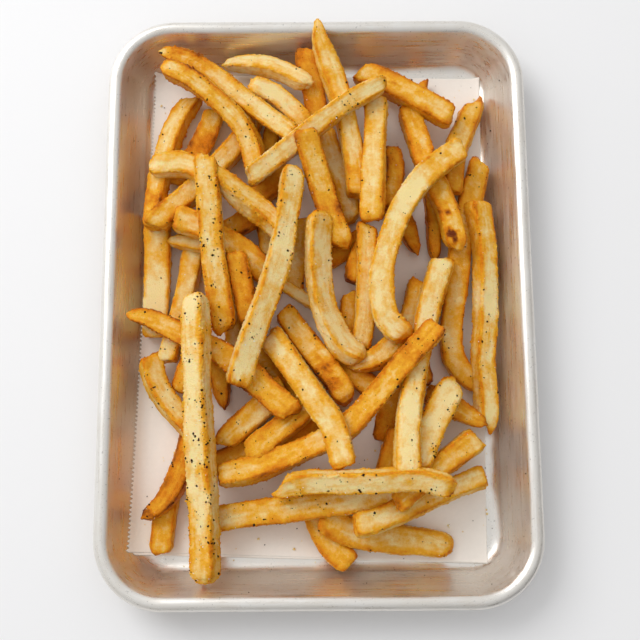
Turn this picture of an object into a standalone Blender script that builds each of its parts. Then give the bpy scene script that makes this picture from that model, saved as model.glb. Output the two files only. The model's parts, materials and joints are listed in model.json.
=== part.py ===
"""A heap of thick-cut french fries on a sheet of baking paper in a rimmed aluminium baking tray."""
import math

import bmesh
import bpy
import numpy as np

# Lengths below are in millimetres, and MM turns them into metres.
MM = 0.001

# Tray: a quarter sheet pan with a rolled rim
TRAY_WIDTH = 241.0
TRAY_LENGTH = 335.0
TRAY_HEIGHT = 25.4
TRAY_CORNER = 38.0
RIM_RADIUS = 4.3
WALL_RUN = 17.0
COVE_RADIUS = 8.0
SHEET = 1.0
RIM_ROLL_END = math.radians(-118)
CORNER_STEPS = 8
COVE_STEPS = 4
RIM_STEPS = 9
SMOOTH_BELOW = math.radians(35)

# Paper: a folded sheet that lies on the floor and turns up a little on the tray's cove
PAPER_CORNERS = ((-104.5, -137.0), (92.5, -144.0), (98.0, 140.0), (-97.0, 144.0))
PAPER_THICKNESS = 0.4
PAPER_GAP = 0.35
PAPER_CELLS = 14

# Heap: how the fries are placed and how they settle on each other
EYE = (1.4, -119.5, 578.6)
PLAN_HEIGHT = 24.0
FRY_CLEARANCE = 1.15
WALL_CLEARANCE = 2.0
CELL = 2.0
STATION = 2.0
CHAMFER = 0.4
SINK = 2.2
PUSH = 12.0
MAX_SLOPE = 0.2
MAX_BEND = 0.05
SLOPE_STIFFNESS = 150.0
BEND_STIFFNESS = 900.0
SETTLE_PASSES = 6
FIT_PASSES = 12
LIFT_PASSES = 5
FIELD_MARGIN = 4
CURVE_STEPS = 24
LEAST_STATIONS = 9
PILE_TRACKS = 25
STEPS_PER_CELL = 4

# Fry meshes: how far apart the rings stand, from which share of full size a fry counts as full, and
# where the extra ring stands in a tip that is longer than LONG_TIP stations
RING_SPACING = 19.0
FULL_SHARE = 0.97
LONG_TIP = 4
TIP_RING = 1 / 3

# Core: a low mound under the fries that holds them together
CORE_CENTRE = (-2.0, -6.0)
CORE_HALF = (78.0, 118.0)
CORE_RINGS = 6
CORE_SPOKES = 20
CORE_SHARE = 0.5
CORE_LEAST = 1.6
CORE_SPREAD = 4
MERGE = 0.02

# How each kind of end narrows: its reach in widths, and the share of the section left at the tip.
# b is a blunt cut, s a slanted one, r a rounded one, p a point and t a long thin tip.
ENDS = {"b": (0.22, 0.80), "r": (0.60, 0.35), "s": (0.90, 0.45), "p": (1.90, 0.14), "t": (3.40, 0.20)}

# Each fry: the middle line as seen from EYE on a level plane at PLAN_HEIGHT, then width, thickness,
# roll in degrees, and the kinds of its first and last end. The lowest comes first.
FRIES = [
    # on the paper, mostly hidden
    ([(-90, 50), (-89, 20), (-89.5, -20)], 14.5, 11, 0, "bb"),
    ([(-69, 29), (-72.5, 10), (-77, -12), (-83, -34)], 13, 11, 0, "bb"),
    ([(-80, -106), (-82.5, -122), (-83.5, -136)], 12, 8, 0, "bb"),
    ([(-58, -28), (-54, -42), (-51, -60)], 11, 10, 0, "bp"),
    ([(-66, -26), (-72, -38), (-76, -50)], 10, 9, 0, "bb"),
    ([(-30, 50), (-28, 35), (-26, 18)], 11, 10, 0, "bb"),
    ([(-40, 54), (-28, 64), (-16, 75)], 12, 10, 0, "bb"),
    ([(-57, 33), (-46, 42), (-34, 48)], 12, 10, 0, "bb"),
    ([(-22, 110), (-26, 95), (-28, 78)], 9, 9, 0, "bb"),
    ([(-29, 118), (-36, 104), (-43, 89)], 10, 9, 0, "bb"),
    ([(-6, 46), (-11, 26), (-14, 4)], 11, 10, 0, "bb"),
    ([(-19, 8), (-8, 1), (6, -7)], 7, 7, 0, "bb"),
    ([(4, 21), (14, 27), (26, 35)], 11, 10, 0, "bb"),
    ([(26, 32), (22, 22), (20, 10)], 11, 10, 0, "bb"),
    ([(18, 2), (17, -10), (14, -26)], 10, 9, 0, "bb"),
    ([(44, 56), (50, 42), (56, 26)], 11, 10, 0, "bp"),
    ([(64, 68), (65, 44), (66, 22)], 8, 10, 0, "bp"),
    ([(10, -35), (22, -44), (36, -55)], 12, 11, 0, "bb"),
    ([(45, -44), (39, -62), (36, -78)], 14, 11, 0, "bb"),
    ([(42, -72), (38, -86), (34, -102)], 9, 9, 0, "bb"),
    ([(-18, -82), (-4, -70), (9, -61)], 11, 10, 0, "bb"),
    ([(-35, -28), (-24, -42), (-11, -58)], 11, 10, 0, "bb"),
    ([(-49, 26), (-47, 2), (-46, -28)], 10, 9, 0, "bb"),
    ([(-60, -93), (-42, -84), (-22, -77)], 12, 9, 0, "bb"),
    ([(62, 127), (57, 114), (52, 100)], 6, 7, 0, "bb"),
    ([(48, -10), (54, -30), (58, -48)], 10, 9, 0, "bb"),
    ([(-5, -108), (1, -124), (8, -136), (16, -143)], 13, 10, 0, "bb"),
    ([(93, 79), (88, 62), (81, 36), (78, 10), (74, -16), (75, -34), (86, -51)], 12.5, 10, 0, "bp"),
    ([(43, 87), (45, 75), (41, 52)], 11, 11, 0, "bb"),
    ([(-5, 147), (-4, 134), (-1, 120), (1, 104)], 13, 11, 0, "bb"),
    ([(92, 116), (85, 100), (79, 84), (77, 62)], 13, 11, 0, "sb"),
    ([(-58, 110), (-63, 96), (-70, 82), (-81, 68)], 12.5, 11, 0, "bb"),
    ([(-84, 34), (-72, 33), (-54, 29)], 9, 9, 0, "pb"),
    # second layer
    ([(-69, 119), (-79, 105), (-86, 84), (-90.5, 62), (-92, 42)], 13, 12, -20, "sb"),
    ([(-92, 44), (-80, 55), (-65, 69), (-51, 84), (-42, 95)], 13, 11, 0, "bb"),
    ([(2, -119), (16, -126), (36, -130), (56, -132), (70, -134)], 15.5, 9, 0, "br"),
    ([(-62, -120.5), (-30, -116), (0, -112.5), (25, -109), (42, -105.5)], 14, 11, 0, "bb"),
    ([(89, -97.5), (71, -104), (50, -113), (30, -121), (20, -123)], 13.5, 10, -10, "bb"),
    ([(-68, -70), (-71, -84), (-77, -100), (-84, -111), (-94, -118.5)], 12.5, 11, 0, "bp"),
    ([(-92, -32), (-88.5, -46), (-81, -58), (-71, -70), (-60, -82)], 13, 12, 20, "bb"),
    ([(-80, 47), (-66, 42), (-52, 34), (-40, 26), (-27, 13)], 13.5, 11, 0, "bb"),
    ([(-45, 26), (-41, 6), (-37, -14)], 11.5, 11, 0, "bb"),
    ([(4, 97), (10, 79), (16, 62), (18, 44)], 13, 12, 0, "br"),
    ([(1, 166.5), (2.5, 155), (7, 142), (12, 126), (18, 100), (22, 78), (23.5, 60)], 13, 12, 0, "tb"),
    ([(-54, 139.5), (-42, 139.5), (-28, 138), (-16, 133.5), (-5, 127)], 13, 12, 30, "pr"),
    ([(-38, 127), (-24, 120), (-12, 109), (-2, 97)], 12.5, 11, 0, "rb"),
    ([(35, 117.5), (34, 100), (33, 84), (32, 66), (31, 46)], 14, 12, -12, "bb"),
    ([(52, 112), (58, 94), (63, 77), (70, 60), (75, 46), (78, 29)], 12.5, 12, 0, "br"),
    ([(91, 55), (94, 32), (94, 10), (93, -12), (91, -36), (92, -56), (91.5, -71)], 14, 13, 14, "bs"),
    ([(60, -53), (74, -61), (83, -66), (91, -70)], 12, 10, 0, "bp"),
    ([(28, 42), (28, 22), (27, 2), (26, -12), (23, -28)], 11, 11, 0, "bb"),
    ([(57, 9), (52, -8), (43, -23), (32, -33), (17, -38)], 12, 11, 0, "bp"),
    ([(-52, -79), (-41, -69), (-31, -60), (-19, -49)], 14, 12, 0, "rb"),
    ([(-38, -86), (-24, -74.5), (-12, -65), (1, -54)], 14, 12, 0, "rb"),
    ([(-18, -7), (-8, -22), (2, -35), (10, -46), (16, -57)], 13.5, 12, 0, "br"),
    ([(-94, 78), (-82, 79.5), (-72, 78), (-61, 71)], 13.5, 11, 0, "rb"),
    ([(86, -78), (72, -88), (58, -98), (42, -112)], 13.5, 12, 0, "bb"),
    # third layer
    ([(75, -47), (69, -57), (63, -68), (58, -79), (53, -92)], 14.5, 12, 0, "rb"),
    ([(70, 22), (65, 5), (60, -12), (56, -30), (52, -50), (49, -70), (48, -96)], 13.5, 12, 0, "bb"),
    ([(-91, 148.5), (-73, 143), (-59, 134), (-45, 122), (-31, 110), (-13, 97)], 12, 11, -15, "pb"),
    ([(-88, 139), (-73, 131.5), (-58, 119.5), (-46, 107), (-38, 92), (-34, 74)], 13, 12, -12, "rb"),
    ([(24, 133), (35, 130), (48, 123), (62, 115), (77, 106)], 13.5, 12, 0, "rb"),
    ([(39, 128), (20, 117), (0, 102), (-20, 86), (-38, 71)], 13, 12, 15, "rb"),
    ([(-105, -8), (-94, -10), (-84, -15), (-70, -22), (-52, -31), (-38, -42), (-27, -52), (-14, -63)],
     13.5, 11, 0, "tb"),
    ([(-63, 82), (-62, 65), (-60, 45), (-58, 25), (-55.5, 8), (-53, -8), (-52.5, -18)], 13.5, 12, 0, "br"),
    ([(-59, 77), (-48, 65), (-35, 54), (-27, 47), (-16, 36)], 14.5, 12, 25, "pb"),
    ([(-7, 98), (-3, 84), (1, 70), (5, 57), (10, 44), (15, 30)], 12.5, 12, 0, "br"),
    ([(66, -16), (56, -27), (42, -42), (30, -56), (18, -69), (4, -78), (-14, -86), (-32, -93), (-53, -97)],
     13.5, 12, -12, "bb"),
    ([(-21, -104), (-8, -100.5), (12, -100), (32, -99.5), (54, -99), (72, -103)], 14, 13, -22, "sr"),
    ([(83, 87), (73, 80.5), (60, 69), (48, 51), (40, 32), (36, 12), (37, -6), (41, -15), (49, -22)],
     13.5, 13, 0, "br"),
    # top
    ([(1, 50), (0, 32), (0.5, 13), (3, -4), (8, -17), (15, -28), (24, -33)], 16.5, 13, 40, "rr"),
    ([(-26, -20), (-14, -37), (-1, -56), (9, -71), (14, -91)], 15.5, 14, -15, "bb"),
    ([(-14, 77), (-15, 60), (-18, 42), (-21.5, 24), (-27, 5), (-34, -15), (-40, -32), (-44, -47)],
     14, 13, 15, "rb"),
    ([(-67.5, 3), (-66.5, -30), (-64.5, -70), (-61.5, -110), (-60, -135), (-59.5, -152)],
     16.5, 14, -28, "rr"),
]


def wall_lean():
    """The wall's angle above level: it is tangent to the cove below it and to the rolled rim above."""
    across = WALL_RUN + RIM_RADIUS
    up = TRAY_HEIGHT - RIM_RADIUS - SHEET - COVE_RADIUS
    apart = math.hypot(across, up)
    return math.atan2(up, across) + math.asin((COVE_RADIUS + RIM_RADIUS) / apart)


def past_outline(x, y, inset):
    """How far a point lies outside the tray's rounded outline drawn in by inset; negative inside."""
    corner = TRAY_CORNER - inset
    dx = np.abs(x) - (TRAY_WIDTH / 2 - TRAY_CORNER)
    dy = np.abs(y) - (TRAY_LENGTH / 2 - TRAY_CORNER)
    beyond = np.hypot(np.maximum(dx, 0), np.maximum(dy, 0))
    return beyond + np.minimum(np.maximum(dx, dy), 0) - corner


def tray_surface(x, y, margin=0.0):
    """Height of the tray's upper face: floor, cove, wall, then level with the rim's top.

    A margin moves the cove and wall inwards, for what has to stay clear of them.
    """
    lean = wall_lean()
    out = past_outline(x, y, 2 * RIM_RADIUS + WALL_RUN) + margin
    cove_run = COVE_RADIUS * math.sin(lean)
    cove = COVE_RADIUS - np.sqrt(COVE_RADIUS ** 2 - np.clip(out, 0, cove_run) ** 2)
    wall = np.maximum(out - cove_run, 0) * math.tan(lean)
    return np.minimum(SHEET + cove + wall, TRAY_HEIGHT)


def tray_profile():
    """Pairs of inset and height from the floor's upper face, over the rim, to its underside."""
    lean = wall_lean()
    floor_inset = 2 * RIM_RADIUS + WALL_RUN
    turns = np.linspace(0, lean, COVE_STEPS + 1)
    inner = [(floor_inset - COVE_RADIUS * math.sin(a), SHEET + COVE_RADIUS * (1 - math.cos(a)))
             for a in turns]
    start = math.pi / 2 + lean
    rim_height = TRAY_HEIGHT - RIM_RADIUS
    roll = [(RIM_RADIUS - RIM_RADIUS * math.cos(a), rim_height + RIM_RADIUS * math.sin(a))
            for a in np.linspace(start, RIM_ROLL_END, RIM_STEPS)]
    under_radius = COVE_RADIUS + SHEET
    under = [(floor_inset - under_radius * math.sin(a), under_radius * (1 - math.cos(a)))
             for a in reversed(turns)]
    return inner + roll + under


def outline_ring(inset):
    """Points round the tray's rounded outline drawn in by inset."""
    corner = TRAY_CORNER - inset
    half = (TRAY_WIDTH / 2 - TRAY_CORNER, TRAY_LENGTH / 2 - TRAY_CORNER)
    points = []
    for quarter, (side_x, side_y) in enumerate(((1, 1), (-1, 1), (-1, -1), (1, -1))):
        for step in range(CORNER_STEPS + 1):
            turn = (quarter + step / CORNER_STEPS) * math.pi / 2
            points.append((side_x * half[0] + corner * math.cos(turn),
                           side_y * half[1] + corner * math.sin(turn)))
    return points


def loft(bm, rings):
    """Joins rings of equal count with quads and closes both ends."""
    rows = [[bm.verts.new([c * MM for c in point]) for point in ring] for ring in rings]
    count = len(rows[0])
    for low, high in zip(rows, rows[1:]):
        for i in range(count):
            j = (i + 1) % count
            bm.faces.new((low[i], low[j], high[j], high[i]))
    bm.faces.new(rows[0])
    bm.faces.new(rows[-1])
    bmesh.ops.recalc_face_normals(bm, faces=bm.faces)


def new_object(name, bm, collection, smooth=False):
    """Makes an object of a bmesh and puts it in a collection."""
    mesh = bpy.data.meshes.new(name)
    bm.to_mesh(mesh)
    bm.free()
    if smooth:
        mesh.shade_smooth()
        mesh.set_sharp_from_angle(angle=SMOOTH_BELOW)
    made = bpy.data.objects.new(name, mesh)
    collection.objects.link(made)
    return made


def give_material(target, name, colour, roughness, metallic=0.0):
    """Gives an object a plain Principled material."""
    material = bpy.data.materials.new(name)
    material.use_nodes = True
    shader = material.node_tree.nodes["Principled BSDF"]
    shader.inputs["Base Color"].default_value = (*colour, 1)
    shader.inputs["Roughness"].default_value = roughness
    shader.inputs["Metallic"].default_value = metallic
    target.data.materials.clear()
    target.data.materials.append(material)


def build_tray(collection):
    """The tray in one pressing: floor, coved walls and the rolled rim."""
    bm = bmesh.new()
    loft(bm, [[(x, y, height) for x, y in outline_ring(inset)] for inset, height in tray_profile()])
    tray = new_object("tray", bm, collection, smooth=True)
    give_material(tray, "satin_aluminium", (0.62, 0.60, 0.57), 0.38, 1.0)


def build_paper(collection):
    """The sheet of paper, with its grid drawn close near the edges, where it turns up on the cove."""
    bm = bmesh.new()
    bmesh.ops.create_grid(bm, x_segments=PAPER_CELLS, y_segments=PAPER_CELLS, size=1.0)
    near_left, near_right, far_right, far_left = (np.array(c) for c in PAPER_CORNERS)
    for vert in bm.verts:
        across = 0.5 - 0.5 * math.cos(math.pi * (vert.co.x + 1) / 2)
        along = 0.5 - 0.5 * math.cos(math.pi * (vert.co.y + 1) / 2)
        near = near_left + (near_right - near_left) * across
        far = far_left + (far_right - far_left) * across
        x, y = near + (far - near) * along
        vert.co = (x * MM, y * MM, (float(tray_surface(x, y)) + PAPER_GAP) * MM)
    paper = new_object("paper_liner", bm, collection)
    solidify = paper.modifiers.new("thickness", "SOLIDIFY")
    solidify.thickness = PAPER_THICKNESS * MM
    solidify.offset = 1.0
    give_material(paper, "baking_paper", (0.72, 0.68, 0.62), 0.6)


def smooth_line(points, count):
    """A smooth curve through the points, read at even steps along its length."""
    path = np.array(points, float)
    path = np.vstack([2 * path[0] - path[1], path, 2 * path[-1] - path[-2]])
    pieces = []
    t = np.linspace(0, 1, CURVE_STEPS, endpoint=False)[:, None]
    for a, b, c, d in zip(path, path[1:], path[2:], path[3:]):
        pieces.append(0.5 * (2 * b + (c - a) * t + (2 * a - 5 * b + 4 * c - d) * t ** 2
                             + (3 * b - a - 3 * c + d) * t ** 3))
    fine = np.vstack(pieces + [path[-2:-1]])
    run = np.concatenate([[0], np.cumsum(np.linalg.norm(np.diff(fine, axis=0), axis=1))])
    even = np.linspace(0, run[-1], count)
    return np.stack([np.interp(even, run, fine[:, k]) for k in range(2)], 1)


def section(width, thickness, roll):
    """The chamfered cross-section, as pairs of sideways and upward offsets, as wide as stated."""
    edge = 1 - CHAMFER
    corners = np.array([(1, edge), (edge, 1), (-edge, 1), (-1, edge),
                        (-1, -edge), (-edge, -1), (edge, -1), (1, -edge)])
    corners = corners * (width / 2, thickness / 2)
    turn = math.radians(roll)
    turned = corners @ np.array([[math.cos(turn), math.sin(turn)], [-math.sin(turn), math.cos(turn)]])
    return turned * (width / 2 / turned[:, 0].max())


def end_share(kind, distance, width):
    """The share of the full section that is left at a distance from an end."""
    reach, least = ENDS[kind]
    t = np.clip(distance / (reach * width), 0, 1)
    return least + (1 - least) * np.sqrt(1 - (1 - t) ** 2)


def below_sight(plan, height):
    """Where a point seen on the plan plane lies when it is really at another height."""
    eye = np.array(EYE[:2])
    share = (EYE[2] - np.asarray(height)) / (EYE[2] - PLAN_HEIGHT)
    return eye + (plan - eye) * share[:, None]


def sideways(line):
    """The level direction across a line at each of its points."""
    along = np.gradient(line, axis=0)
    along /= np.linalg.norm(along, axis=1)[:, None]
    return np.stack([along[:, 1], -along[:, 0]], 1)


def cells(points, field):
    """The rows and columns of a height field under some points."""
    column = np.clip((points[:, 0] / CELL + field.shape[1] / 2).astype(int), 0, field.shape[1] - 1)
    row = np.clip((points[:, 1] / CELL + field.shape[0] / 2).astype(int), 0, field.shape[0] - 1)
    return row, column


def height_over(field, line, across, corners, share):
    """How high the middle line has to be for the fry's underside to clear a height field."""
    need = np.zeros(len(line))
    for side, up in corners[corners[:, 1] < 0]:
        row, column = cells(line + across * (side * share)[:, None], field)
        need = np.maximum(need, field[row, column] - up * share)
    return need


def settle(fry, pile, ground):
    """Lays a fry on the pile as a nearly stiff stick: it sinks in a little and hangs over gaps."""
    points, width, thickness, roll, ends = fry
    length = np.linalg.norm(np.diff(np.array(points, float), axis=0), axis=1).sum()
    plan = smooth_line(points, max(LEAST_STATIONS, int(length / STATION)))
    place = np.linspace(-1, 1, len(plan))
    half = length / 2
    corners = section(width, thickness, roll)
    share = np.minimum(end_share(ends[0], (place + 1) * half, width),
                       end_share(ends[1], (1 - place) * half, width))
    terms = np.stack([np.ones_like(place), place, place ** 2], 1)
    stiffness = np.diag([0, SLOPE_STIFFNESS, BEND_STIFFNESS]) * len(place) / half ** 2
    height = np.full(len(plan), PLAN_HEIGHT)
    for _ in range(SETTLE_PASSES):
        line = below_sight(plan, height)
        across = sideways(line)
        floor = height_over(ground, line, across, corners, share)
        rest = np.maximum(height_over(pile, line, across, corners, share) - SINK, floor)
        fit = np.array([rest.max(), 0.0, 0.0])
        for _ in range(FIT_PASSES):
            weight = np.where(rest > terms @ fit, PUSH, 1.0) * share
            fit = np.linalg.solve((terms * weight[:, None]).T @ terms + stiffness,
                                  (terms * weight[:, None]).T @ rest)
            fit[1] = np.clip(fit[1], -MAX_SLOPE * half, MAX_SLOPE * half)
            fit[2] = np.clip(fit[2], -MAX_BEND * half, MAX_BEND * half)
            fit[0] = (weight * (rest - terms[:, 1:] @ fit[1:])).sum() / weight.sum()
        height = (height + terms @ fit) / 2
    for _ in range(LIFT_PASSES):
        line = below_sight(plan, height)
        floor = height_over(ground, line, sideways(line), corners, share)
        height += max(0.0, (floor - height).max())
    line = below_sight(plan, height)
    return {"line": line, "height": height, "share": share, "corners": corners, "length": length}


def add_to_pile(fry, pile):
    """Raises the pile's height field to the fry's upper side."""
    corners = fry["corners"]
    upper = corners[corners[:, 1] > 0]
    upper = upper[np.argsort(upper[:, 0])]
    count = len(fry["height"])
    steps = np.arange(0, count - 1, CELL / STATION / STEPS_PER_CELL)
    index = np.arange(count)
    line = np.stack([np.interp(steps, index, fry["line"][:, k]) for k in range(2)], 1)
    height = np.interp(steps, index, fry["height"])
    share = np.interp(steps, index, fry["share"])
    across = sideways(line)
    for side in np.linspace(upper[0, 0], upper[-1, 0], PILE_TRACKS):
        up = np.interp(side, upper[:, 0], upper[:, 1])
        spot = cells(line + across * (side * share)[:, None], pile)
        np.maximum.at(pile, spot, height + up * share)


def lay_heap():
    """Settles every fry in turn and returns them with the finished height field."""
    columns = int(TRAY_WIDTH / CELL / 2 + FIELD_MARGIN) * 2
    rows = int(TRAY_LENGTH / CELL / 2 + FIELD_MARGIN) * 2
    x = (np.arange(columns) - columns / 2 + 0.5) * CELL
    y = (np.arange(rows) - rows / 2 + 0.5) * CELL
    ground = tray_surface(*np.meshgrid(x, y), margin=WALL_CLEARANCE) + FRY_CLEARANCE
    pile = ground.copy()
    heap = []
    for fry in FRIES:
        laid = settle(fry, pile, ground)
        add_to_pile(laid, pile)
        heap.append(laid)
    return heap, pile


def fry_stations(fry):
    """Where a fry's rings stand: at its tips, where its ends reach full size, and evenly between."""
    share = fry["share"]
    full = np.nonzero(share > FULL_SHARE)[0]
    first, last, end = full[0], full[-1], len(share) - 1
    length = fry["length"] * (last - first) / end
    middle = np.linspace(first, last, max(2, round(length / RING_SPACING) + 1))
    head = [0.0, first * TIP_RING] if first > LONG_TIP else [0.0]
    tail = [end - (end - last) * TIP_RING, end] if end - last > LONG_TIP else [end]
    return np.array(head + list(middle) + tail)


def build_fry(fry, name, collection):
    """One fry as a loft of chamfered sections along its settled line."""
    stations = fry_stations(fry)
    index = np.arange(len(fry["share"]))
    line = np.stack([np.interp(stations, index, fry["line"][:, k]) for k in range(2)], 1)
    across = sideways(fry["line"])
    across = np.stack([np.interp(stations, index, across[:, k]) for k in range(2)], 1)
    height = np.interp(stations, index, fry["height"])
    share = np.interp(stations, index, fry["share"])
    rings = []
    for point, side, z, part in zip(line, across, height, share):
        rings.append([(point[0] + side[0] * u * part, point[1] + side[1] * u * part, z + v * part)
                      for u, v in fry["corners"]])
    bm = bmesh.new()
    loft(bm, rings)
    return new_object(name, bm, collection)


def build_core(pile, collection):
    """A low mound under the heap, well below the tops of the fries that hide it."""
    low = pile.copy()
    for _ in range(CORE_SPREAD):
        shifted = [np.roll(low, step, axis) for axis in (0, 1) for step in (-1, 1)]
        low = np.minimum.reduce([low] + shifted)
    rings = []
    base = float(SHEET + FRY_CLEARANCE)
    for ring in range(1, CORE_RINGS + 1):
        out = ring / CORE_RINGS
        turns = np.arange(CORE_SPOKES) * 2 * math.pi / CORE_SPOKES
        spots = np.stack([CORE_CENTRE[0] + CORE_HALF[0] * out * np.cos(turns),
                          CORE_CENTRE[1] + CORE_HALF[1] * out * np.sin(turns)], 1)
        over = low[cells(spots, low)] - base
        top = base + np.maximum(CORE_LEAST, over * CORE_SHARE)
        rings.append([(x, y, z) for (x, y), z in zip(spots, top)])
    rings.append([(x, y, base) for x, y, _ in rings[-1]])
    bm = bmesh.new()
    loft(bm, rings)
    return new_object("core", bm, collection)


def main_shell(mesh):
    """Keeps a mesh's largest connected shell, so sealed hollows are filled and loose scraps go."""
    bm = bmesh.new()
    bm.from_mesh(mesh)
    bmesh.ops.remove_doubles(bm, verts=bm.verts, dist=MERGE * MM)
    bmesh.ops.dissolve_degenerate(bm, dist=MERGE * MM, edges=bm.edges)
    left = set(bm.faces)
    shells = []
    while left:
        shell = {left.pop()}
        reached = list(shell)
        while reached:
            face = reached.pop()
            for edge in face.edges:
                for other in edge.link_faces:
                    if other in left:
                        left.discard(other)
                        shell.add(other)
                        reached.append(other)
        shells.append(shell)
    shells.sort(key=len)
    spare = [face for shell in shells[:-1] for face in shell]
    bmesh.ops.delete(bm, geom=spare, context="FACES")
    bmesh.ops.triangulate(bm, faces=bm.faces)
    bm.to_mesh(mesh)
    bm.free()


def build_fries(collection, pieces):
    """The heap in one body: every fry fused with its neighbours and with the core."""
    heap, pile = lay_heap()
    for number, fry in enumerate(heap):
        build_fry(fry, f"fry_{number:02d}", pieces)
    fries = build_core(pile, pieces)
    pieces.objects.unlink(fries)
    collection.objects.link(fries)
    fries.name = "fries"
    union = fries.modifiers.new("fuse", "BOOLEAN")
    union.operation = "UNION"
    union.operand_type = "COLLECTION"
    union.collection = pieces
    union.solver = "EXACT"
    view = bpy.context.evaluated_depsgraph_get()
    fused = bpy.data.meshes.new_from_object(fries.evaluated_get(view))
    fries.modifiers.clear()
    fries.data = fused
    for piece in list(pieces.objects):
        bpy.data.objects.remove(piece)
    bpy.data.collections.remove(pieces)
    main_shell(fused)
    give_material(fries, "fried_potato", (0.80, 0.52, 0.18), 0.5)


def main():
    """Clears the scene and builds the tray, the paper and the heap of fries."""
    for old in list(bpy.data.objects):
        bpy.data.objects.remove(old)
    parts = bpy.data.collections.new("fries_on_tray")
    bpy.context.scene.collection.children.link(parts)
    pieces = bpy.data.collections.new("loose_fries")
    bpy.context.scene.collection.children.link(pieces)
    build_tray(parts)
    build_paper(parts)
    build_fries(parts, pieces)


main()
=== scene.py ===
"""Thick-cut french fries heaped on baking paper in an aluminium baking tray."""
import json
import math

import bmesh
import bpy
import numpy as np
from bpy.props import FloatProperty, FloatVectorProperty, IntProperty, PointerProperty
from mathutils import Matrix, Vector

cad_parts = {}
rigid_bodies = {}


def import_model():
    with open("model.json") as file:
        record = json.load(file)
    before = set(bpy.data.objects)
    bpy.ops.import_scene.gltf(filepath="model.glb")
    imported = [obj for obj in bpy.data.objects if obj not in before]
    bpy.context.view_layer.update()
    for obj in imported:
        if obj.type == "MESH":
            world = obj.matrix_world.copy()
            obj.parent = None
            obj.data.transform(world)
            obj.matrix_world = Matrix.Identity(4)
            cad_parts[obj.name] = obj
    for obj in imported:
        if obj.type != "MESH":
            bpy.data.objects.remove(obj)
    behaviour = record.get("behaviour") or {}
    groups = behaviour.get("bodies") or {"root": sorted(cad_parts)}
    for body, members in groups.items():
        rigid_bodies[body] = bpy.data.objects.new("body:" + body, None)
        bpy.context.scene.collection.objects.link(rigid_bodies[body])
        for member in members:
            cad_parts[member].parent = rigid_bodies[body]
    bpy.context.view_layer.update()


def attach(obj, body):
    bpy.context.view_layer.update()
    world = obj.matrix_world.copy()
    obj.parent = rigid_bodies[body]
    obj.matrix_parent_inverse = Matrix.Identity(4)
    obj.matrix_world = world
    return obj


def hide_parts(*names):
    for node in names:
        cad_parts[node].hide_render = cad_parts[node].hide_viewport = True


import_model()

bl_info = {
    "name": "Fries on a Baking Tray",
    "version": (1, 0, 0),
    "blender": (4, 5, 0),
    "location": "View3D > Sidebar > Fries",
    "description": "Builds a heap of fries on baking paper in a rimmed tray, with its light and camera",
    "category": "Object",
}

# Lengths below are in millimetres, and MM turns them into metres.
MM = 0.001

# Tray, as in the frame
TRAY_WIDTH = 241.0
TRAY_LENGTH = 335.0
TRAY_HEIGHT = 25.4
TRAY_CORNER = 38.0
RIM_RADIUS = 4.3
WALL_RUN = 17.0
COVE_RADIUS = 8.0
SHEET = 1.0
RIM_ROLL_END = math.radians(-118)
FLOOR_INSET = 2 * RIM_RADIUS + WALL_RUN
RIM_MIDDLE = TRAY_HEIGHT - RIM_RADIUS
STRAIGHT_X = TRAY_WIDTH / 2 - TRAY_CORNER
STRAIGHT_Y = TRAY_LENGTH / 2 - TRAY_CORNER

# Paper, as in the frame
PAPER_CORNERS = ((-104.5, -137.0), (92.5, -144.0), (98.0, 140.0), (-97.0, 144.0))
PAPER_GAP = 0.35

# Heap, as in the frame
EYE = (1.4, -119.5, 578.6)
PLAN_HEIGHT = 24.0
FRY_CLEARANCE = 1.15
WALL_CLEARANCE = 2.0
CELL = 2.0
STATION = 2.0
CHAMFER = 0.4
SINK = 2.2
PUSH = 12.0
MAX_SLOPE = 0.2
MAX_BEND = 0.05
SLOPE_STIFFNESS = 150.0
BEND_STIFFNESS = 900.0
SETTLE_PASSES = 6
FIT_PASSES = 12
LIFT_PASSES = 5
FIELD_MARGIN = 4
CURVE_STEPS = 24
LEAST_STATIONS = 9
STEPS_PER_CELL = 4
PILE_TRACKS = 25

# How each kind of end narrows: its reach in widths, and the share of the section left at the tip.
# b is a blunt cut, s a slanted one, r a rounded one, p a point and t a long thin tip.
ENDS = {"b": (0.22, 0.80), "r": (0.60, 0.35), "s": (0.90, 0.45), "p": (1.90, 0.14), "t": (3.40, 0.20)}

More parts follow.
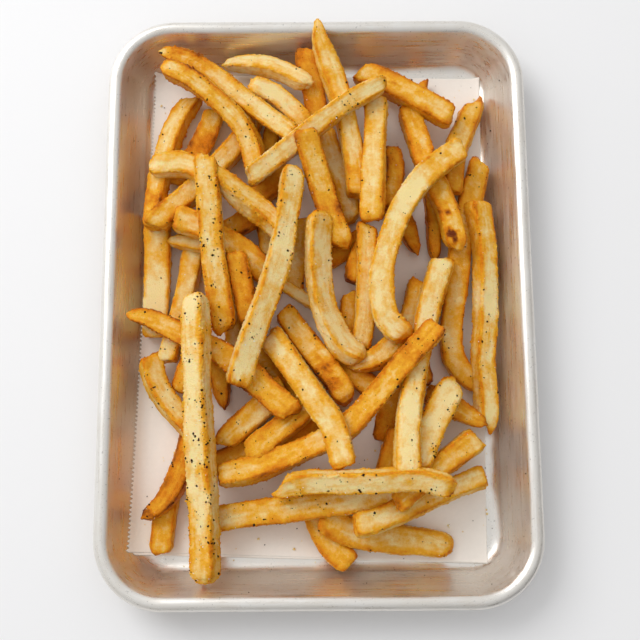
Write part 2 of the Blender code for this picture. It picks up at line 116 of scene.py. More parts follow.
# Each fry: the middle line as seen from EYE on a level plane at PLAN_HEIGHT, then width, thickness,
# roll in degrees, the kinds of its first and last end, how brown it is and how much pepper it has.
# The lowest comes first.
# how brown a fry is holds painted light too: the low, mostly hidden fries are browner as painted shade, and
# some top fries whose broad faces turn from the lamp are paler as painted light
FRIES = [
    # on the paper, mostly hidden, and browner than most, partly as painted shade
    ([(-90, 50), (-89, 20), (-89.5, -20)], 14.5, 11, 0, "bb", 0.08, 0.4),
    ([(-69, 29), (-72.5, 10), (-77, -12), (-83, -34)], 13, 11, 0, "bb", 0.16, 0.4),
    ([(-80, -106), (-82.5, -122), (-83.5, -136)], 12, 8, 0, "bb", 0.22, 0.1),
    ([(-58, -28), (-54, -42), (-51, -60)], 11, 10, 0, "bp", 0.42, 0.6),
    ([(-66, -26), (-72, -38), (-76, -50)], 10, 9, 0, "bb", 0.42, 0.3),
    ([(-30, 50), (-28, 35), (-26, 18)], 11, 10, 0, "bb", 0.30, 0.6),
    ([(-40, 54), (-28, 64), (-16, 75)], 12, 10, 0, "bb", 0.38, 0.4),
    ([(-57, 33), (-46, 42), (-34, 48)], 12, 10, 0, "bb", 0.46, 0.3),
    ([(-22, 110), (-26, 95), (-28, 78)], 9, 9, 0, "bb", 0.30, 0.2),
    ([(-29, 118), (-36, 104), (-43, 89)], 10, 9, 0, "bb", 0.25, 0.2),
    ([(-6, 46), (-11, 26), (-14, 4)], 11, 10, 0, "bb", 0.38, 0.3),
    ([(-19, 8), (-8, 1), (6, -7)], 7, 7, 0, "bb", 0.05, 0.1),
    ([(4, 21), (14, 27), (26, 35)], 11, 10, 0, "bb", 0.40, 0.2),
    ([(26, 32), (22, 22), (20, 10)], 11, 10, 0, "bb", 0.46, 0.2),
    ([(18, 2), (17, -10), (14, -26)], 10, 9, 0, "bb", 0.46, 0.2),
    ([(44, 56), (50, 42), (56, 26)], 11, 10, 0, "bp", 0.46, 0.3),
    ([(64, 68), (65, 44), (66, 22)], 8, 10, 0, "bp", 0.42, 0.2),
    ([(10, -35), (22, -44), (36, -55)], 12, 11, 0, "bb", 0.42, 0.2),
    ([(45, -44), (39, -62), (36, -78)], 14, 11, 0, "bb", 0.42, 0.5),
    ([(42, -72), (38, -86), (34, -102)], 9, 9, 0, "bb", 0.42, 0.2),
    ([(-18, -82), (-4, -70), (9, -61)], 11, 10, 0, "bb", 0.42, 0.3),
    ([(-35, -28), (-24, -42), (-11, -58)], 11, 10, 0, "bb", 0.42, 0.3),
    ([(-49, 26), (-47, 2), (-46, -28)], 10, 9, 0, "bb", 0.40, 0.3),
    ([(-60, -93), (-42, -84), (-22, -77)], 12, 9, 0, "bb", 0.40, 0.3),
    ([(62, 127), (57, 114), (52, 100)], 6, 7, 0, "bb", 0.40, 0.2),
    ([(48, -10), (54, -30), (58, -48)], 10, 9, 0, "bb", 0.40, 0.3),
    ([(-5, -108), (1, -124), (8, -136), (16, -143)], 13, 10, 0, "bb", 0.26, 0.5),
    ([(93, 79), (88, 62), (81, 36), (78, 10), (74, -16), (75, -34), (86, -51)],
     12.5, 10, 0, "bp", 0.36, 0.6),
    ([(43, 87), (45, 75), (41, 52)], 11, 11, 0, "bb", 0.38, 0.4),
    ([(-5, 147), (-4, 134), (-1, 120), (1, 104)], 13, 11, 0, "bb", 0.28, 0.4),
    ([(92, 116), (85, 100), (79, 84), (77, 62)], 13, 11, 0, "sb", 0.30, 0.2),
    ([(-58, 110), (-63, 96), (-70, 82), (-81, 68)], 12.5, 11, 0, "bb", 0.24, 0.3),
    ([(-84, 34), (-72, 33), (-54, 29)], 9, 9, 0, "pb", 0.18, 0.2),
    # second layer
    ([(-69, 119), (-79, 105), (-86, 84), (-90.5, 62), (-92, 42)], 13, 12, -20, "sb", 0.28, 0.3),
    ([(-92, 44), (-80, 55), (-65, 69), (-51, 84), (-42, 95)], 13, 11, 0, "bb", 0.16, 0.3),
    ([(2, -119), (16, -126), (36, -130), (56, -132), (70, -134)], 15.5, 9, 0, "br", 0.24, 0.4),
    ([(-62, -120.5), (-30, -116), (0, -112.5), (25, -109), (42, -105.5)], 14, 11, 0, "bb", 0.12, 0.9),
    ([(89, -97.5), (71, -104), (50, -113), (30, -121), (20, -123)], 13.5, 10, -10, "bb", 0.24, 0.4),
    ([(-68, -70), (-71, -84), (-77, -100), (-84, -111), (-94, -118.5)], 12.5, 11, 0, "bp", 0.40, 0.5),
    ([(-92, -32), (-88.5, -46), (-81, -58), (-71, -70), (-60, -82)], 13, 12, 20, "bb", 0.20, 0.6),
    ([(-80, 47), (-66, 42), (-52, 34), (-40, 26), (-27, 13)], 13.5, 11, 0, "bb", 0.28, 0.6),
    ([(-45, 26), (-41, 6), (-37, -14)], 11.5, 11, 0, "bb", 0.30, 0.6),
    ([(4, 97), (10, 79), (16, 62), (18, 44)], 13, 12, 0, "br", 0.22, 0.5),
    ([(1, 166.5), (2.5, 155), (7, 142), (12, 126), (18, 100), (22, 78), (23.5, 60)],
     13, 12, 0, "tb", 0.14, 0.3),
    ([(-54, 139.5), (-42, 139.5), (-28, 138), (-16, 133.5), (-5, 127)], 13, 12, 30, "pr", 0.03, 0.3),
    ([(-38, 127), (-24, 120), (-12, 109), (-2, 97)], 12.5, 11, 0, "rb", 0.18, 0.4),
    ([(35, 117.5), (34, 100), (33, 84), (32, 66), (31, 46)], 14, 12, -12, "bb", 0.16, 0.3),
    ([(52, 112), (58, 94), (63, 77), (70, 60), (75, 46), (78, 29)], 12.5, 12, 0, "br", 0.30, 0.4),
    ([(91, 55), (94, 32), (94, 10), (93, -12), (91, -36), (92, -56), (91.5, -71)],
     14, 13, 14, "bs", 0.20, 0.6),
    ([(60, -53), (74, -61), (83, -66), (91, -70)], 12, 10, 0, "bp", 0.34, 0.3),
    ([(28, 42), (28, 22), (27, 2), (26, -12), (23, -28)], 11, 11, 0, "bb", 0.28, 0.5),
    ([(57, 9), (52, -8), (43, -23), (32, -33), (17, -38)], 12, 11, 0, "bp", 0.24, 0.4),
    ([(-52, -79), (-41, -69), (-31, -60), (-19, -49)], 14, 12, 0, "rb", 0.26, 0.5),
    ([(-38, -86), (-24, -74.5), (-12, -65), (1, -54)], 14, 12, 0, "rb", 0.24, 0.5),
    ([(-18, -7), (-8, -22), (2, -35), (10, -46), (16, -57)], 13.5, 12, 0, "br", 0.30, 0.5),
    ([(-94, 78), (-82, 79.5), (-72, 78), (-61, 71)], 13.5, 11, 0, "rb", 0.14, 0.2),
    ([(86, -78), (72, -88), (58, -98), (42, -112)], 13.5, 12, 0, "bb", 0.22, 0.4),
    # third layer
    ([(75, -47), (69, -57), (63, -68), (58, -79), (53, -92)], 14.5, 12, 0, "rb", 0.24, 2.6),
    ([(70, 22), (65, 5), (60, -12), (56, -30), (52, -50), (49, -70), (48, -96)],
     13.5, 12, 0, "bb", 0.14, 0.4),
    ([(-91, 148.5), (-73, 143), (-59, 134), (-45, 122), (-31, 110), (-13, 97)], 12, 11, -15, "pb", 0.26, 0.3),
    ([(-88, 139), (-73, 131.5), (-58, 119.5), (-46, 107), (-38, 92), (-34, 74)],
     13, 12, -12, "rb", 0.16, 0.5),
    ([(24, 133), (35, 130), (48, 123), (62, 115), (77, 106)], 13.5, 12, 0, "rb", 0.42, 0.3),
    ([(39, 128), (20, 117), (0, 102), (-20, 86), (-38, 71)], 13, 12, 15, "rb", 0.14, 1.2),
    ([(-105, -8), (-94, -10), (-84, -15), (-70, -22), (-52, -31), (-38, -42), (-27, -52), (-14, -63)],
     13.5, 11, 0, "tb", 0.36, 0.6),
    ([(-63, 82), (-62, 65), (-60, 45), (-58, 25), (-55.5, 8), (-53, -8), (-52.5, -18)],
     13.5, 12, 0, "br", 0.24, 2.0),
    ([(-59, 77), (-48, 65), (-35, 54), (-27, 47), (-16, 36)], 14.5, 12, 25, "pb", 0.14, 0.5),
    ([(-7, 98), (-3, 84), (1, 70), (5, 57), (10, 44), (15, 30)], 12.5, 12, 0, "br", 0.34, 0.8),
    ([(66, -16), (56, -27), (42, -42), (30, -56), (18, -69), (4, -78), (-14, -86), (-32, -93), (-53, -97)],
     13.5, 12, -12, "bb", 0.26, 0.6),
    ([(-21, -104), (-8, -100.5), (12, -100), (32, -99.5), (54, -99), (72, -103)],
     14, 13, -22, "sr", 0.10, 0.6),
    ([(83, 87), (73, 80.5), (60, 69), (48, 51), (40, 32), (36, 12), (37, -6), (41, -15), (49, -22)],
     13.5, 13, 0, "br", 0.10, 0.2),
    # top
    # painted light: this fry and the third one here are paler, because their broad faces turn away from the
    # lamp
    ([(1, 50), (0, 32), (0.5, 13), (3, -4), (8, -17), (15, -28), (24, -33)], 16.5, 13, 40, "rr", 0.04, 0.5),
    ([(-26, -20), (-14, -37), (-1, -56), (9, -71), (14, -91)], 15.5, 14, -15, "bb", 0.10, 0.2),
    ([(-14, 77), (-15, 60), (-18, 42), (-21.5, 24), (-27, 5), (-34, -15), (-40, -32), (-44, -47)],
     14, 13, 15, "rb", 0.05, 1.0),
    ([(-67.5, 3), (-66.5, -30), (-64.5, -70), (-61.5, -110), (-60, -135), (-59.5, -152)],
     16.5, 14, -28, "rr", 0.14, 2.2),
]

# Pieces of the heap: the numbers of the first fry and of the one after the last, the distance between
# rings along a fry, and the points in a ring. What lies on top is finer.
LAYERS = (
    ("fries_lowest", 0, 33, 1.7, 28),
    ("fries_low", 33, 45, 0.9, 52),
    ("fries_middle", 45, 57, 0.8, 56),
    ("fries_high", 57, 64, 0.56, 64),
    ("fries_upper", 64, 70, 0.56, 64),
    ("fries_top", 70, 74, 0.52, 72),
)

# Dark or crusty places: seen position on the plan plane, radius, how much browner, how much rougher
MARKS = (
    (74, 50, 1.7, 0.60, 0.3), (76, 38, 3.0, 0.75, 0.9), (77.5, 33.5, 2.4, 0.80, 0.9),
    (-68, 146, 8.0, 0.24, 0.9), (-80, 148, 6.0, 0.24, 0.5), (4, -38, 7.0, 0.30, 1.3),
    (8, -46, 6.0, 0.30, 1.2), (-92, 58, 7.0, 0.28, 0.9), (-80, 47, 5.0, 0.15, 1.1),
    (-66, 92, 8.0, 0.22, 0.9), (-33, 44, 6.0, 0.25, 0.6), (-92, -116, 5.0, 0.35, 0.4),
    (43, -112, 4.0, 0.35, 0.9), (70, -105, 4.0, 0.28, 0.3), (-43, -49, 5.0, 0.22, 1.2),
    (-14, -62, 5.0, 0.20, 0.8), (0, -33, 5.0, 0.22, 0.8), (92, -72, 5.0, 0.16, 0.2),
    (-61, -136, 16.0, 0.16, 0.1), (70, 78, 14.0, 0.18, 0.2), (48, -36, 15.0, 0.18, 0.2),
    (-63, -96, 9.0, 0.10, 0.2), (0, 22, 5.0, 0.05, 0.3), (88, 105, 5.0, 0.10, 0.2),
    (13, 52, 5.0, 0.18, 0.3),
)

# Random numbers and noise
SCRAMBLE = (374761393, 668265263, 2246822519, 3266489917, 1274126177)
ROUGH_RANGE = 1.6
BLISTER_STRAY = 0.45
BLISTER_RADIUS = 0.30
BLISTER_SPREAD = 0.14
TINY = 1e-9

# A fry's form: its cut section, how it varies along the fry, and its ends
LEAST_RINGS = 8
SECTION_FINENESS = 1441
SECTION_POWER = (4.6, 7.5)
EDGE_FROM = 0.58
EDGE_BAND = 0.28
EDGE_CROWD = 1.6
SKEW = 0.11
FULLNESS = 1.04
TWIST = math.radians(6)
TWIST_LENGTH = 45.0
WIDTH_WAVE = 0.10
WIDTH_WAVE_LENGTH = 26.0
WIDTH_RIPPLE = 0.045
WIDTH_RIPPLE_LENGTH = 9.0
THICKNESS_WAVE = 0.07
THICKNESS_WAVE_LENGTH = 21.0
DRIFT = 0.5
DRIFT_LENGTH = 24.0
END_NARROWING = {"b": 0.75, "r": 0.72}
CAP_SHARES = (0.96, 0.86, 0.62, 0.30)
CAP_BULGES = (0.35, 0.62, 0.80, 0.88)
SLANT = 1.9
TILT = 1.0
SLANT_REACH = 1.3
# the slant of ends that isn't left to chance, by kind, and the fry whose first end slants the other way
HAND_CUT = {"s": 3.5, "p": 0.0, "t": 0.0}
OTHER_WAY = {68: -4.0}
FRY_SEED = 1000

# Crust: sizes in mm, and how far each of its forms lifts the skin, also in mm
SWELL_SIZE = 10.0
SWELL_LIFT = 0.36
FIBRE_LENGTH = 7
FIBRE_COUNT = 5
FIBRE_LIFT = 0.12
CRUST_SIZE = 1.9
MEAN_CRUST = 0.22
FACE_CRUST = 0.16
EDGE_CRUST = 0.85
LARGE_CRUMB = 2.4
LARGE_CRUMB_SHARE = 0.34
SMALL_CRUMB = 1.6
SMALL_CRUMB_SHARE = 0.55
SMALL_CRUMB_HEIGHT = 0.8
FACE_CRUMB = 0.07
EDGE_CRUMB = 0.90
FACE_DIP = 0.14
SIDE_COARSENESS = 0.70
TIP_REACH = 0.30
TIP_ROUGHNESS = 0.8
FULL_RELIEF_SHARE = 0.6
LEAST_RELIEF = 0.25
SKIN_CLEARANCE = FRY_CLEARANCE - 0.2

# Browning: what each adds, where 0 is pale and 1 burnt
BASE_BROWN = -0.05
# painted shade: the upright sides of every fry's section are made browner, as if they lay in shade
PAINTED_SIDE_SHADE = 0.10
FACE_SPREAD = 0.09
PATCH_SIZE = 24.0
PATCH_BROWN = 0.15
TOAST_SIZE = 9.0
TOAST_MEAN = 0.55
TOAST_SPREAD = 0.9
EDGE_BROWN = 0.25
ASIDE_FROM = 0.25
ASIDE_BAND = 0.55
ASIDE_BROWN = 0.15
SWELL_BROWN = 0.16
TIP_BROWN = 0.12
CRUMB_BROWN = 0.08
EDGE_CRUMB_PALER = 0.22

# Listed marks: how ragged they are, and what they do to the crust
MARK_SEED = 77
MARK_WOBBLE = 0.9
MARK_WOBBLE_SIZE = 3.2
MARK_SOLID = 1.25
MARK_CRUMB = 0.5
MARK_DIP = 0.25
MARK_CRUST_BROWN = 0.30

# The tray's skin: how finely its bends are made, and its rolling lines in mm
COVE_POINTS = 9
ROLL_POINTS = 26
CORNER_STEPS = 18
SIDE_STEP = 9
QUARTERS = ((1, 1), (-1, 1), (-1, -1), (1, -1))
LINE_LENGTH = 22
TRAY_ROUND = 2 * (TRAY_WIDTH + TRAY_LENGTH) - 60
LINE_PITCH = 1.3
WAVE_SEED = 5
LEVEL_WAVE_SEED = 8
OIL_AND_SHADE_SEED = 9
SHARP_FROM = math.radians(40)
# shares of red, green and blue that oil with painted shade, dirt and pits leave of the metal's colour
OIL_AND_SHADE_TINT = (0.76, 0.61, 0.44)
WARM_TINT = (0.74, 0.64, 0.50)
PIT_TINT = (0.30, 0.30, 0.30)
OIL_AND_SHADE_SHARE = 0.58
# where the oil and painted shade end below the rim and above the floor, over how many mm they thin out, and
# their patches
OIL_AND_SHADE_TOP = 1.5
OIL_AND_SHADE_TOP_FADE = 5
OIL_AND_SHADE_FOOT = 0.2
OIL_AND_SHADE_FOOT_FADE = 3
OIL_AND_SHADE_ON_FLOOR = 0.25
OIL_AND_SHADE_PATCH = 22.0
OIL_AND_SHADE_PATCHINESS = 0.5
# painted shade: the share kept all round before the left and far walls, which face away from the lamp, get
# more and the right and near ones less, and the least any wall keeps
PAINTED_SHADE_ALL_ROUND = 0.6
PAINTED_SHADE_LEAST = 0.12
# how large the pressed sheet's waves are in mm, and how they grow from the floor up
WAVE_SIZE = 48.0
LEVEL_WAVE_SIZE = 60.0
LEVEL_WAVE = 0.5
WAVE_FROM = 2
WAVE_RISE = 8

# Paper: its teeth, its two leaves and how it swells, in mm
TOOTH_PITCH = 2.4
TOOTH_DEPTH = 1.2
TOOTH_ROWS = 4
PAPER_BANDS = 30
LEAF = 0.10
LEAF_GAP = 0.06
LOWER_LEAF_SHIFT = ((3.0, -1.6), (-0.2, -0.3), (-0.2, -0.5), (2.0, -0.5))
PAPER_SWELL = 0.10
PAPER_SWELL_SIZE = 55.0
PAPER_TOP = 1.05

# Seasoning. Sizes in mm are the least, how much more, and the power that keeps large ones few.
BARE_RINGS = 5
SPECK_LEAN = 0.2
SPECK_DEPTH = 1.6
LOOSE_SHARE = 0.055
PEPPER_SIZES = (0.42, 1.15, 3)
LOOSE_SIZES = (0.35, 0.55, 2)
SALT_SIZES = (0.35, 0.35, 1)
CRUMB_SIZES = (0.5, 1.1, 2)
SPECK_JITTER = 0.3
SPECK_STRETCH = (0.7, 1.3)
SPECK_FLATNESS = (0.8, 1.2)
SALT_FLATNESS = 0.9
ON_METAL = 0.1
CRUMB_RISE = 3
CLUMP_MEAN = 0.5
CLUMP_SPREAD = 1.3
CLUMP_LEAST = 0.02
CLUMP_POWER = 2.2
PEPPER_CLUMP = 7.0
SALT_CLUMP = 12.0
SALT_LIFT = 0.1
PEPPER_SEED = 11
SALT_SEED = 23
CRUMB_SEED = 37

# Light: where the lamp stands in metres, the brighter side of the room, and the room's shades from
# the dark side to the bright one
TABLE_REACH = 4.0
KEY_PLACE = (-1.2, 1.1, 1.5)
BRIGHT_SIDE = (-0.55, 0.55, 0.63)
SKY = ((0.0, "#201F1E"), (0.16, "#5C5A58"), (0.34, "#C0BFBE"), (0.85, "#FFFFFF"))

# Camera: read from the tray's outline in the photo
CAMERA_PLACE = (0.64, -119.5, 578.6)
CAMERA_PITCH = math.radians(79.0)
CAMERA_TURN = math.radians(0.358)
FOCAL_PIXELS = 1021.4
PHOTO_PIXELS = 640
SENSOR = 36.0
CLIP_START = 0.01


def colour(text):
    """An sRGB hex value as linear red, green, blue and a full alpha."""
    parts = [int(text[i:i + 2], 16) / 255 for i in (1, 3, 5)]
    linear = [c / 12.92 if c <= 0.04045 else ((c + 0.055) / 1.055) ** 2.4 for c in parts]
    return (*linear, 1.0)


class TraySettings(bpy.types.PropertyGroup):
    """What a user would change on the tray."""
    metal: FloatVectorProperty(name="Metal", description="Colour of the bare aluminium", subtype="COLOR",
                               size=4, default=colour("#F1EFEB"), min=0, max=1)
    roughness: FloatProperty(name="Roughness", description="How satin the metal is", default=0.30,
                             min=0, max=1, subtype="FACTOR")
    wave: FloatProperty(name="Wave", description="How far the pressed sheet is from flat, in mm",
                        default=0.16, min=0, max=1)


class PaperSettings(bpy.types.PropertyGroup):
    """What a user would change on the paper."""
    sheet: FloatVectorProperty(name="Sheet", description="Colour of the paper", subtype="COLOR",
                               size=4, default=colour("#FCF5EC"), min=0, max=1)
    pitch: FloatProperty(name="Tooth pitch", description="Distance between teeth of the torn edge, in mm",
                         default=TOOTH_PITCH, min=0.5, max=6)
    depth: FloatProperty(name="Tooth depth", description="Depth of the teeth, in mm", default=TOOTH_DEPTH,
                         min=0, max=3)


class FrySettings(bpy.types.PropertyGroup):
    """What a user would change on the fries."""
    pale: FloatVectorProperty(name="Pale", description="Colour of the palest faces", subtype="COLOR",
                              size=4, default=colour("#FFE3A2"), min=0, max=1)
    golden: FloatVectorProperty(name="Golden", description="Colour of the golden faces", subtype="COLOR",
                                size=4, default=colour("#F3B22A"), min=0, max=1)
    amber: FloatVectorProperty(name="Amber", description="Colour of the edges", subtype="COLOR",
                               size=4, default=colour("#DE8203"), min=0, max=1)
    brown: FloatVectorProperty(name="Brown", description="Colour of crust and burns", subtype="COLOR",
                               size=4, default=colour("#702C02"), min=0, max=1)
    relief: FloatProperty(name="Relief", description="Depth of crumbs and cut marks, 1 being the usual",
                          default=1.0, min=0, max=3)


class SeasoningSettings(bpy.types.PropertyGroup):
    """What a user would change on the pepper, salt and crumbs."""
    pepper: IntProperty(name="Pepper", description="Number of pepper specks", default=1150, min=0, max=4000)
    salt: IntProperty(name="Salt", description="Number of salt grains", default=160, min=0, max=2000)
    crumbs: IntProperty(name="Crumbs", description="Number of crumbs on paper and tray", default=60,
                        min=0, max=500)


class StageSettings(bpy.types.PropertyGroup):
    """What a user would change on the light and the ground."""
    ground: FloatVectorProperty(name="Ground", description="Colour of the table", subtype="COLOR",
                                size=4, default=colour("#F1F1F2"), min=0, max=1)
    key: FloatProperty(name="Key light", description="Power of the large soft light", default=25.5,
                       min=0, unit="POWER")
    size: FloatProperty(name="Size", description="Side of the large soft light", default=1.3, min=0.01,
                        unit="LENGTH")
    sky: FloatProperty(name="Sky", description="Strength of the light from all round", default=0.80, min=0)


def fill(tree, node, inputs):
    """Gives each named input of a node a value or a link."""
    for name, value in inputs.items():
        if isinstance(value, bpy.types.NodeSocket):
            tree.links.new(value, node.inputs[name])
        else:
            node.inputs[name].default_value = value


def add(tree, kind, inputs, stops=(), **settings):
    """Adds a node, sets its properties and ramp stops, and fills its inputs."""
    made = tree.nodes.new(kind)
    for name, value in settings.items():
        setattr(made, name, value)
    fill(tree, made, inputs)
    for number, (place, shade) in enumerate(stops):
        if number > 1:
            made.color_ramp.elements.new(place)
        made.color_ramp.elements[number].position = place
        made.color_ramp.elements[number].color = shade
    return made


def new_material(name):
    """A new material with its tree, its shader, and its place on the object."""
    material = bpy.data.materials.new(name)
    material.use_nodes = True
    tree = material.node_tree
    where = add(tree, "ShaderNodeTexCoord", {}).outputs["Object"]
    return material, tree, tree.nodes["Principled BSDF"], where


def tinted(shade, tint):
    """A colour multiplied by three shares, with a full alpha."""
    return (*(a * b for a, b in zip(shade[:3], tint)), 1.0)


def deep_fried_potato(settings):
    """Potato cut by knife and fried twice: dry blistered crust, browner on its thin edges.

    The eye sees pale matt faces, golden to amber edges and a little light glowing through the flesh.
    """
    material, tree, shader, where = new_material("deep_fried_potato")
    brownness = add(tree, "ShaderNodeAttribute", {}, attribute_name="browning").outputs["Fac"]
    # golden mottling about 5 mm across, a finer one about 1.5 mm, and crust pits about 0.7 mm across
    mottle, grain, pits = (
        add(tree, "ShaderNodeTexNoise", {"Vector": where, "Scale": 1 / (size * MM), "Detail": 4.0,
                                         "Roughness": rough}).outputs["Fac"]
        for size, rough in ((5.0, 0.6), (1.5, 0.65), (0.7, 0.62)))
    total = brownness
    for change, weight, last in ((mottle, 0.52, False), (grain, 0.36, True)):
        centred = add(tree, "ShaderNodeMath", {0: change, 1: 0.5}, operation="SUBTRACT").outputs[0]
        total = add(tree, "ShaderNodeMath", {0: centred, 1: weight, 2: total}, operation="MULTIPLY_ADD",
                    use_clamp=last).outputs[0]
    skin = add(tree, "ShaderNodeValToRGB", {"Fac": total},
               stops=((0.0, settings.pale), (0.32, settings.golden), (0.60, settings.amber),
                      (1.0, settings.brown)))
    # browner crust holds a little more oil
    gloss = add(tree, "ShaderNodeMapRange", {"Value": total, "From Min": 0.1, "From Max": 0.8,
                                             "To Min": 0.42, "To Max": 0.30})
    bump = add(tree, "ShaderNodeBump", {"Height": pits, "Strength": 1.0, "Distance": 0.80 * MM})
    fill(tree, shader, {"Base Color": skin.outputs["Color"], "Roughness": gloss.outputs["Result"],
                        "Subsurface Weight": 0.34, "Subsurface Radius": (0.0026, 0.0011, 0.0003),
                        "Subsurface Scale": 1.0, "IOR": 1.42, "Specular IOR Level": 0.22,
                        "Normal": bump.outputs["Normal"]})
    return material


def pressed_aluminium(settings):
    """Sheet aluminium rolled, pressed and washed many times: satin, with fine lines along the rolling.

    The eye sees a soft mirror of the fries on walls browned by oil and by painted shade, and a bright line
    along the rim.
    """
    material, tree, shader, where = new_material("pressed_aluminium")
    grain = add(tree, "ShaderNodeAttribute", {}, attribute_name="grain").outputs["Vector"]
    # the rolling lines run round the walls, so a light is smeared up and down them
    down = add(tree, "ShaderNodeAttribute", {}, attribute_name="down").outputs["Vector"]
    # rolling lines about 1.3 mm apart, coarser than real ones so that they show, long along the wall
    lines = add(tree, "ShaderNodeTexNoise", {"Vector": grain, "Scale": 1.0, "Detail": 5.0,
                                             "Roughness": 0.62}).outputs["Fac"]
    # dull patches about 14 mm across and dark pin spots about 1.3 mm across
    patches, spots = (
        add(tree, "ShaderNodeTexNoise", {"Vector": where, "Scale": 1 / (size * MM), "Detail": detail,
                                         "Roughness": rough}).outputs["Fac"]
        for size, detail, rough in ((14.0, 5.0, 0.6), (1.3, 2.0, 0.5)))
    # baked-on oil and painted shade leave the walls browner than the rim
    oil_and_shade = add(tree, "ShaderNodeAttribute", {}, attribute_name="oil_and_shade").outputs["Fac"]
    warm = tinted(settings.metal, WARM_TINT)
    body = tuple(settings.metal)
    for change, low, high, least, most, over in (
            (patches, 0.35, 0.75, 0.0, 0.22, warm),
            (spots, 0.66, 0.74, 0.0, 0.55, tinted(settings.metal, PIT_TINT)),
            (lines, 0.35, 0.62, 0.18, 0.0, warm),
            (oil_and_shade, 0.0, 1.0, 0.0, 1.0, tinted(settings.metal, OIL_AND_SHADE_TINT))):
        share = add(tree, "ShaderNodeMapRange", {"Value": change, "From Min": low, "From Max": high,
                                                 "To Min": least, "To Max": most}).outputs["Result"]
        body = add(tree, "ShaderNodeMix", {"Factor": share, "A": body, "B": over},
                   data_type="RGBA").outputs["Result"]
    rough = add(tree, "ShaderNodeMapRange", {"Value": lines, "From Min": 0.3, "From Max": 0.7,
                                             "To Min": max(0.0, settings.roughness - 0.08),
                                             "To Max": settings.roughness + 0.14})
    bump = add(tree, "ShaderNodeBump", {"Height": lines, "Strength": 0.35, "Distance": 0.12 * MM})
    # a film of dull oxide covers part of the bare metal, so it isn't wholly metallic
    fill(tree, shader, {"Base Color": body, "Metallic": 0.90, "Roughness": rough.outputs["Result"],
                        "Anisotropic": 0.55, "Tangent": down, "Normal": bump.outputs["Normal"]})
    return material


def greaseproof_paper(settings):
    """Bleached wood fibre pressed thin and siliconed: matt and faintly cloudy, a warm white."""
    material, tree, shader, where = new_material("greaseproof_paper")
    # fibre clouds about 2.5 mm across, and fibres drawn 0.6 mm wide so that they show
    cloud, fibre = (
        add(tree, "ShaderNodeTexNoise", {"Vector": where, "Scale": 1 / (size * MM), "Detail": detail,
                                         "Roughness": 0.6}).outputs["Fac"]
        for size, detail in ((2.5, 4.0), (0.6, 3.0)))
    body = add(tree, "ShaderNodeMix", {"Factor": cloud, "A": tuple(settings.sheet),
                                       "B": tinted(settings.sheet, (0.93, 0.93, 0.93))}, data_type="RGBA")
    bump = add(tree, "ShaderNodeBump", {"Height": fibre, "Strength": 0.25, "Distance": 0.06 * MM})
    fill(tree, shader, {"Base Color": body.outputs["Result"], "Roughness": 0.55, "IOR": 1.5,
                        "Normal": bump.outputs["Normal"]})
    return material


def cracked_pepper():
    """Dried black peppercorns cracked in a mill: nearly black and dull, some brown inside."""
    material, tree, shader, where = new_material("cracked_pepper")
    # each speck takes one shade, from noise about 2 mm across
    shade = add(tree, "ShaderNodeTexNoise", {"Vector": where, "Scale": 1 / (2.0 * MM),
                                             "Detail": 2.0}).outputs["Fac"]
    skin = add(tree, "ShaderNodeValToRGB", {"Fac": shade},
               stops=((0.35, colour("#150A05")), (0.7, colour("#4A2B15"))))
    fill(tree, shader, {"Base Color": skin.outputs["Color"], "Roughness": 0.9, "Specular IOR Level": 0.15})
    return material


def table_salt():
    """Sodium chloride dried in small crystals: clear, so that each grain looks white."""
    material, tree, shader, where = new_material("table_salt")
    # a slight change from grey to white between grains, from noise about 3 mm across
    shade = add(tree, "ShaderNodeTexNoise", {"Vector": where, "Scale": 1 / (3.0 * MM)}).outputs["Fac"]
    body = add(tree, "ShaderNodeValToRGB", {"Fac": shade},
               stops=((0.3, colour("#F4EBD6")), (0.7, colour("#FFFCF4"))))
    fill(tree, shader, {"Base Color": body.outputs["Color"], "Roughness": 0.25, "IOR": 1.54})
    return material


def painted_board(settings):
    """A board rolled with matt white paint: even, with a faint roller stipple."""
    material, tree, shader, where = new_material("painted_board")
    # roller stipple about 3 mm across
    stipple = add(tree, "ShaderNodeTexNoise", {"Vector": where, "Scale": 1 / (3.0 * MM),
                                               "Detail": 2.0}).outputs["Fac"]
    bump = add(tree, "ShaderNodeBump", {"Height": stipple, "Strength": 0.04, "Distance": 0.1 * MM})
    fill(tree, shader, {"Base Color": settings.ground, "Roughness": 0.6, "Normal": bump.outputs["Normal"]})
    return material


def wall_lean():
    """The wall's angle above level: it is tangent to the cove below it and to the rolled rim above."""
    across = WALL_RUN + RIM_RADIUS
    up = TRAY_HEIGHT - RIM_RADIUS - SHEET - COVE_RADIUS
    apart = math.hypot(across, up)
    return math.atan2(up, across) + math.asin((COVE_RADIUS + RIM_RADIUS) / apart)


def past_outline(x, y, inset):
    """How far a point lies outside the tray's rounded outline drawn in by inset; negative inside."""
    dx = np.abs(x) - STRAIGHT_X
    dy = np.abs(y) - STRAIGHT_Y
    beyond = np.hypot(np.maximum(dx, 0), np.maximum(dy, 0))
    return beyond + np.minimum(np.maximum(dx, dy), 0) - (TRAY_CORNER - inset)


def tray_surface(x, y, margin=0.0):
    """Height of the tray's upper face: floor, cove, wall, then level with the rim's top.

    A margin moves the cove and wall inwards, for what has to stay clear of them.
    """
    lean = wall_lean()
    out = past_outline(x, y, FLOOR_INSET) + margin
    cove_run = COVE_RADIUS * math.sin(lean)
    cove = COVE_RADIUS - np.sqrt(COVE_RADIUS ** 2 - np.clip(out, 0, cove_run) ** 2)
    wall = np.maximum(out - cove_run, 0) * math.tan(lean)
    return np.minimum(SHEET + cove + wall, TRAY_HEIGHT)


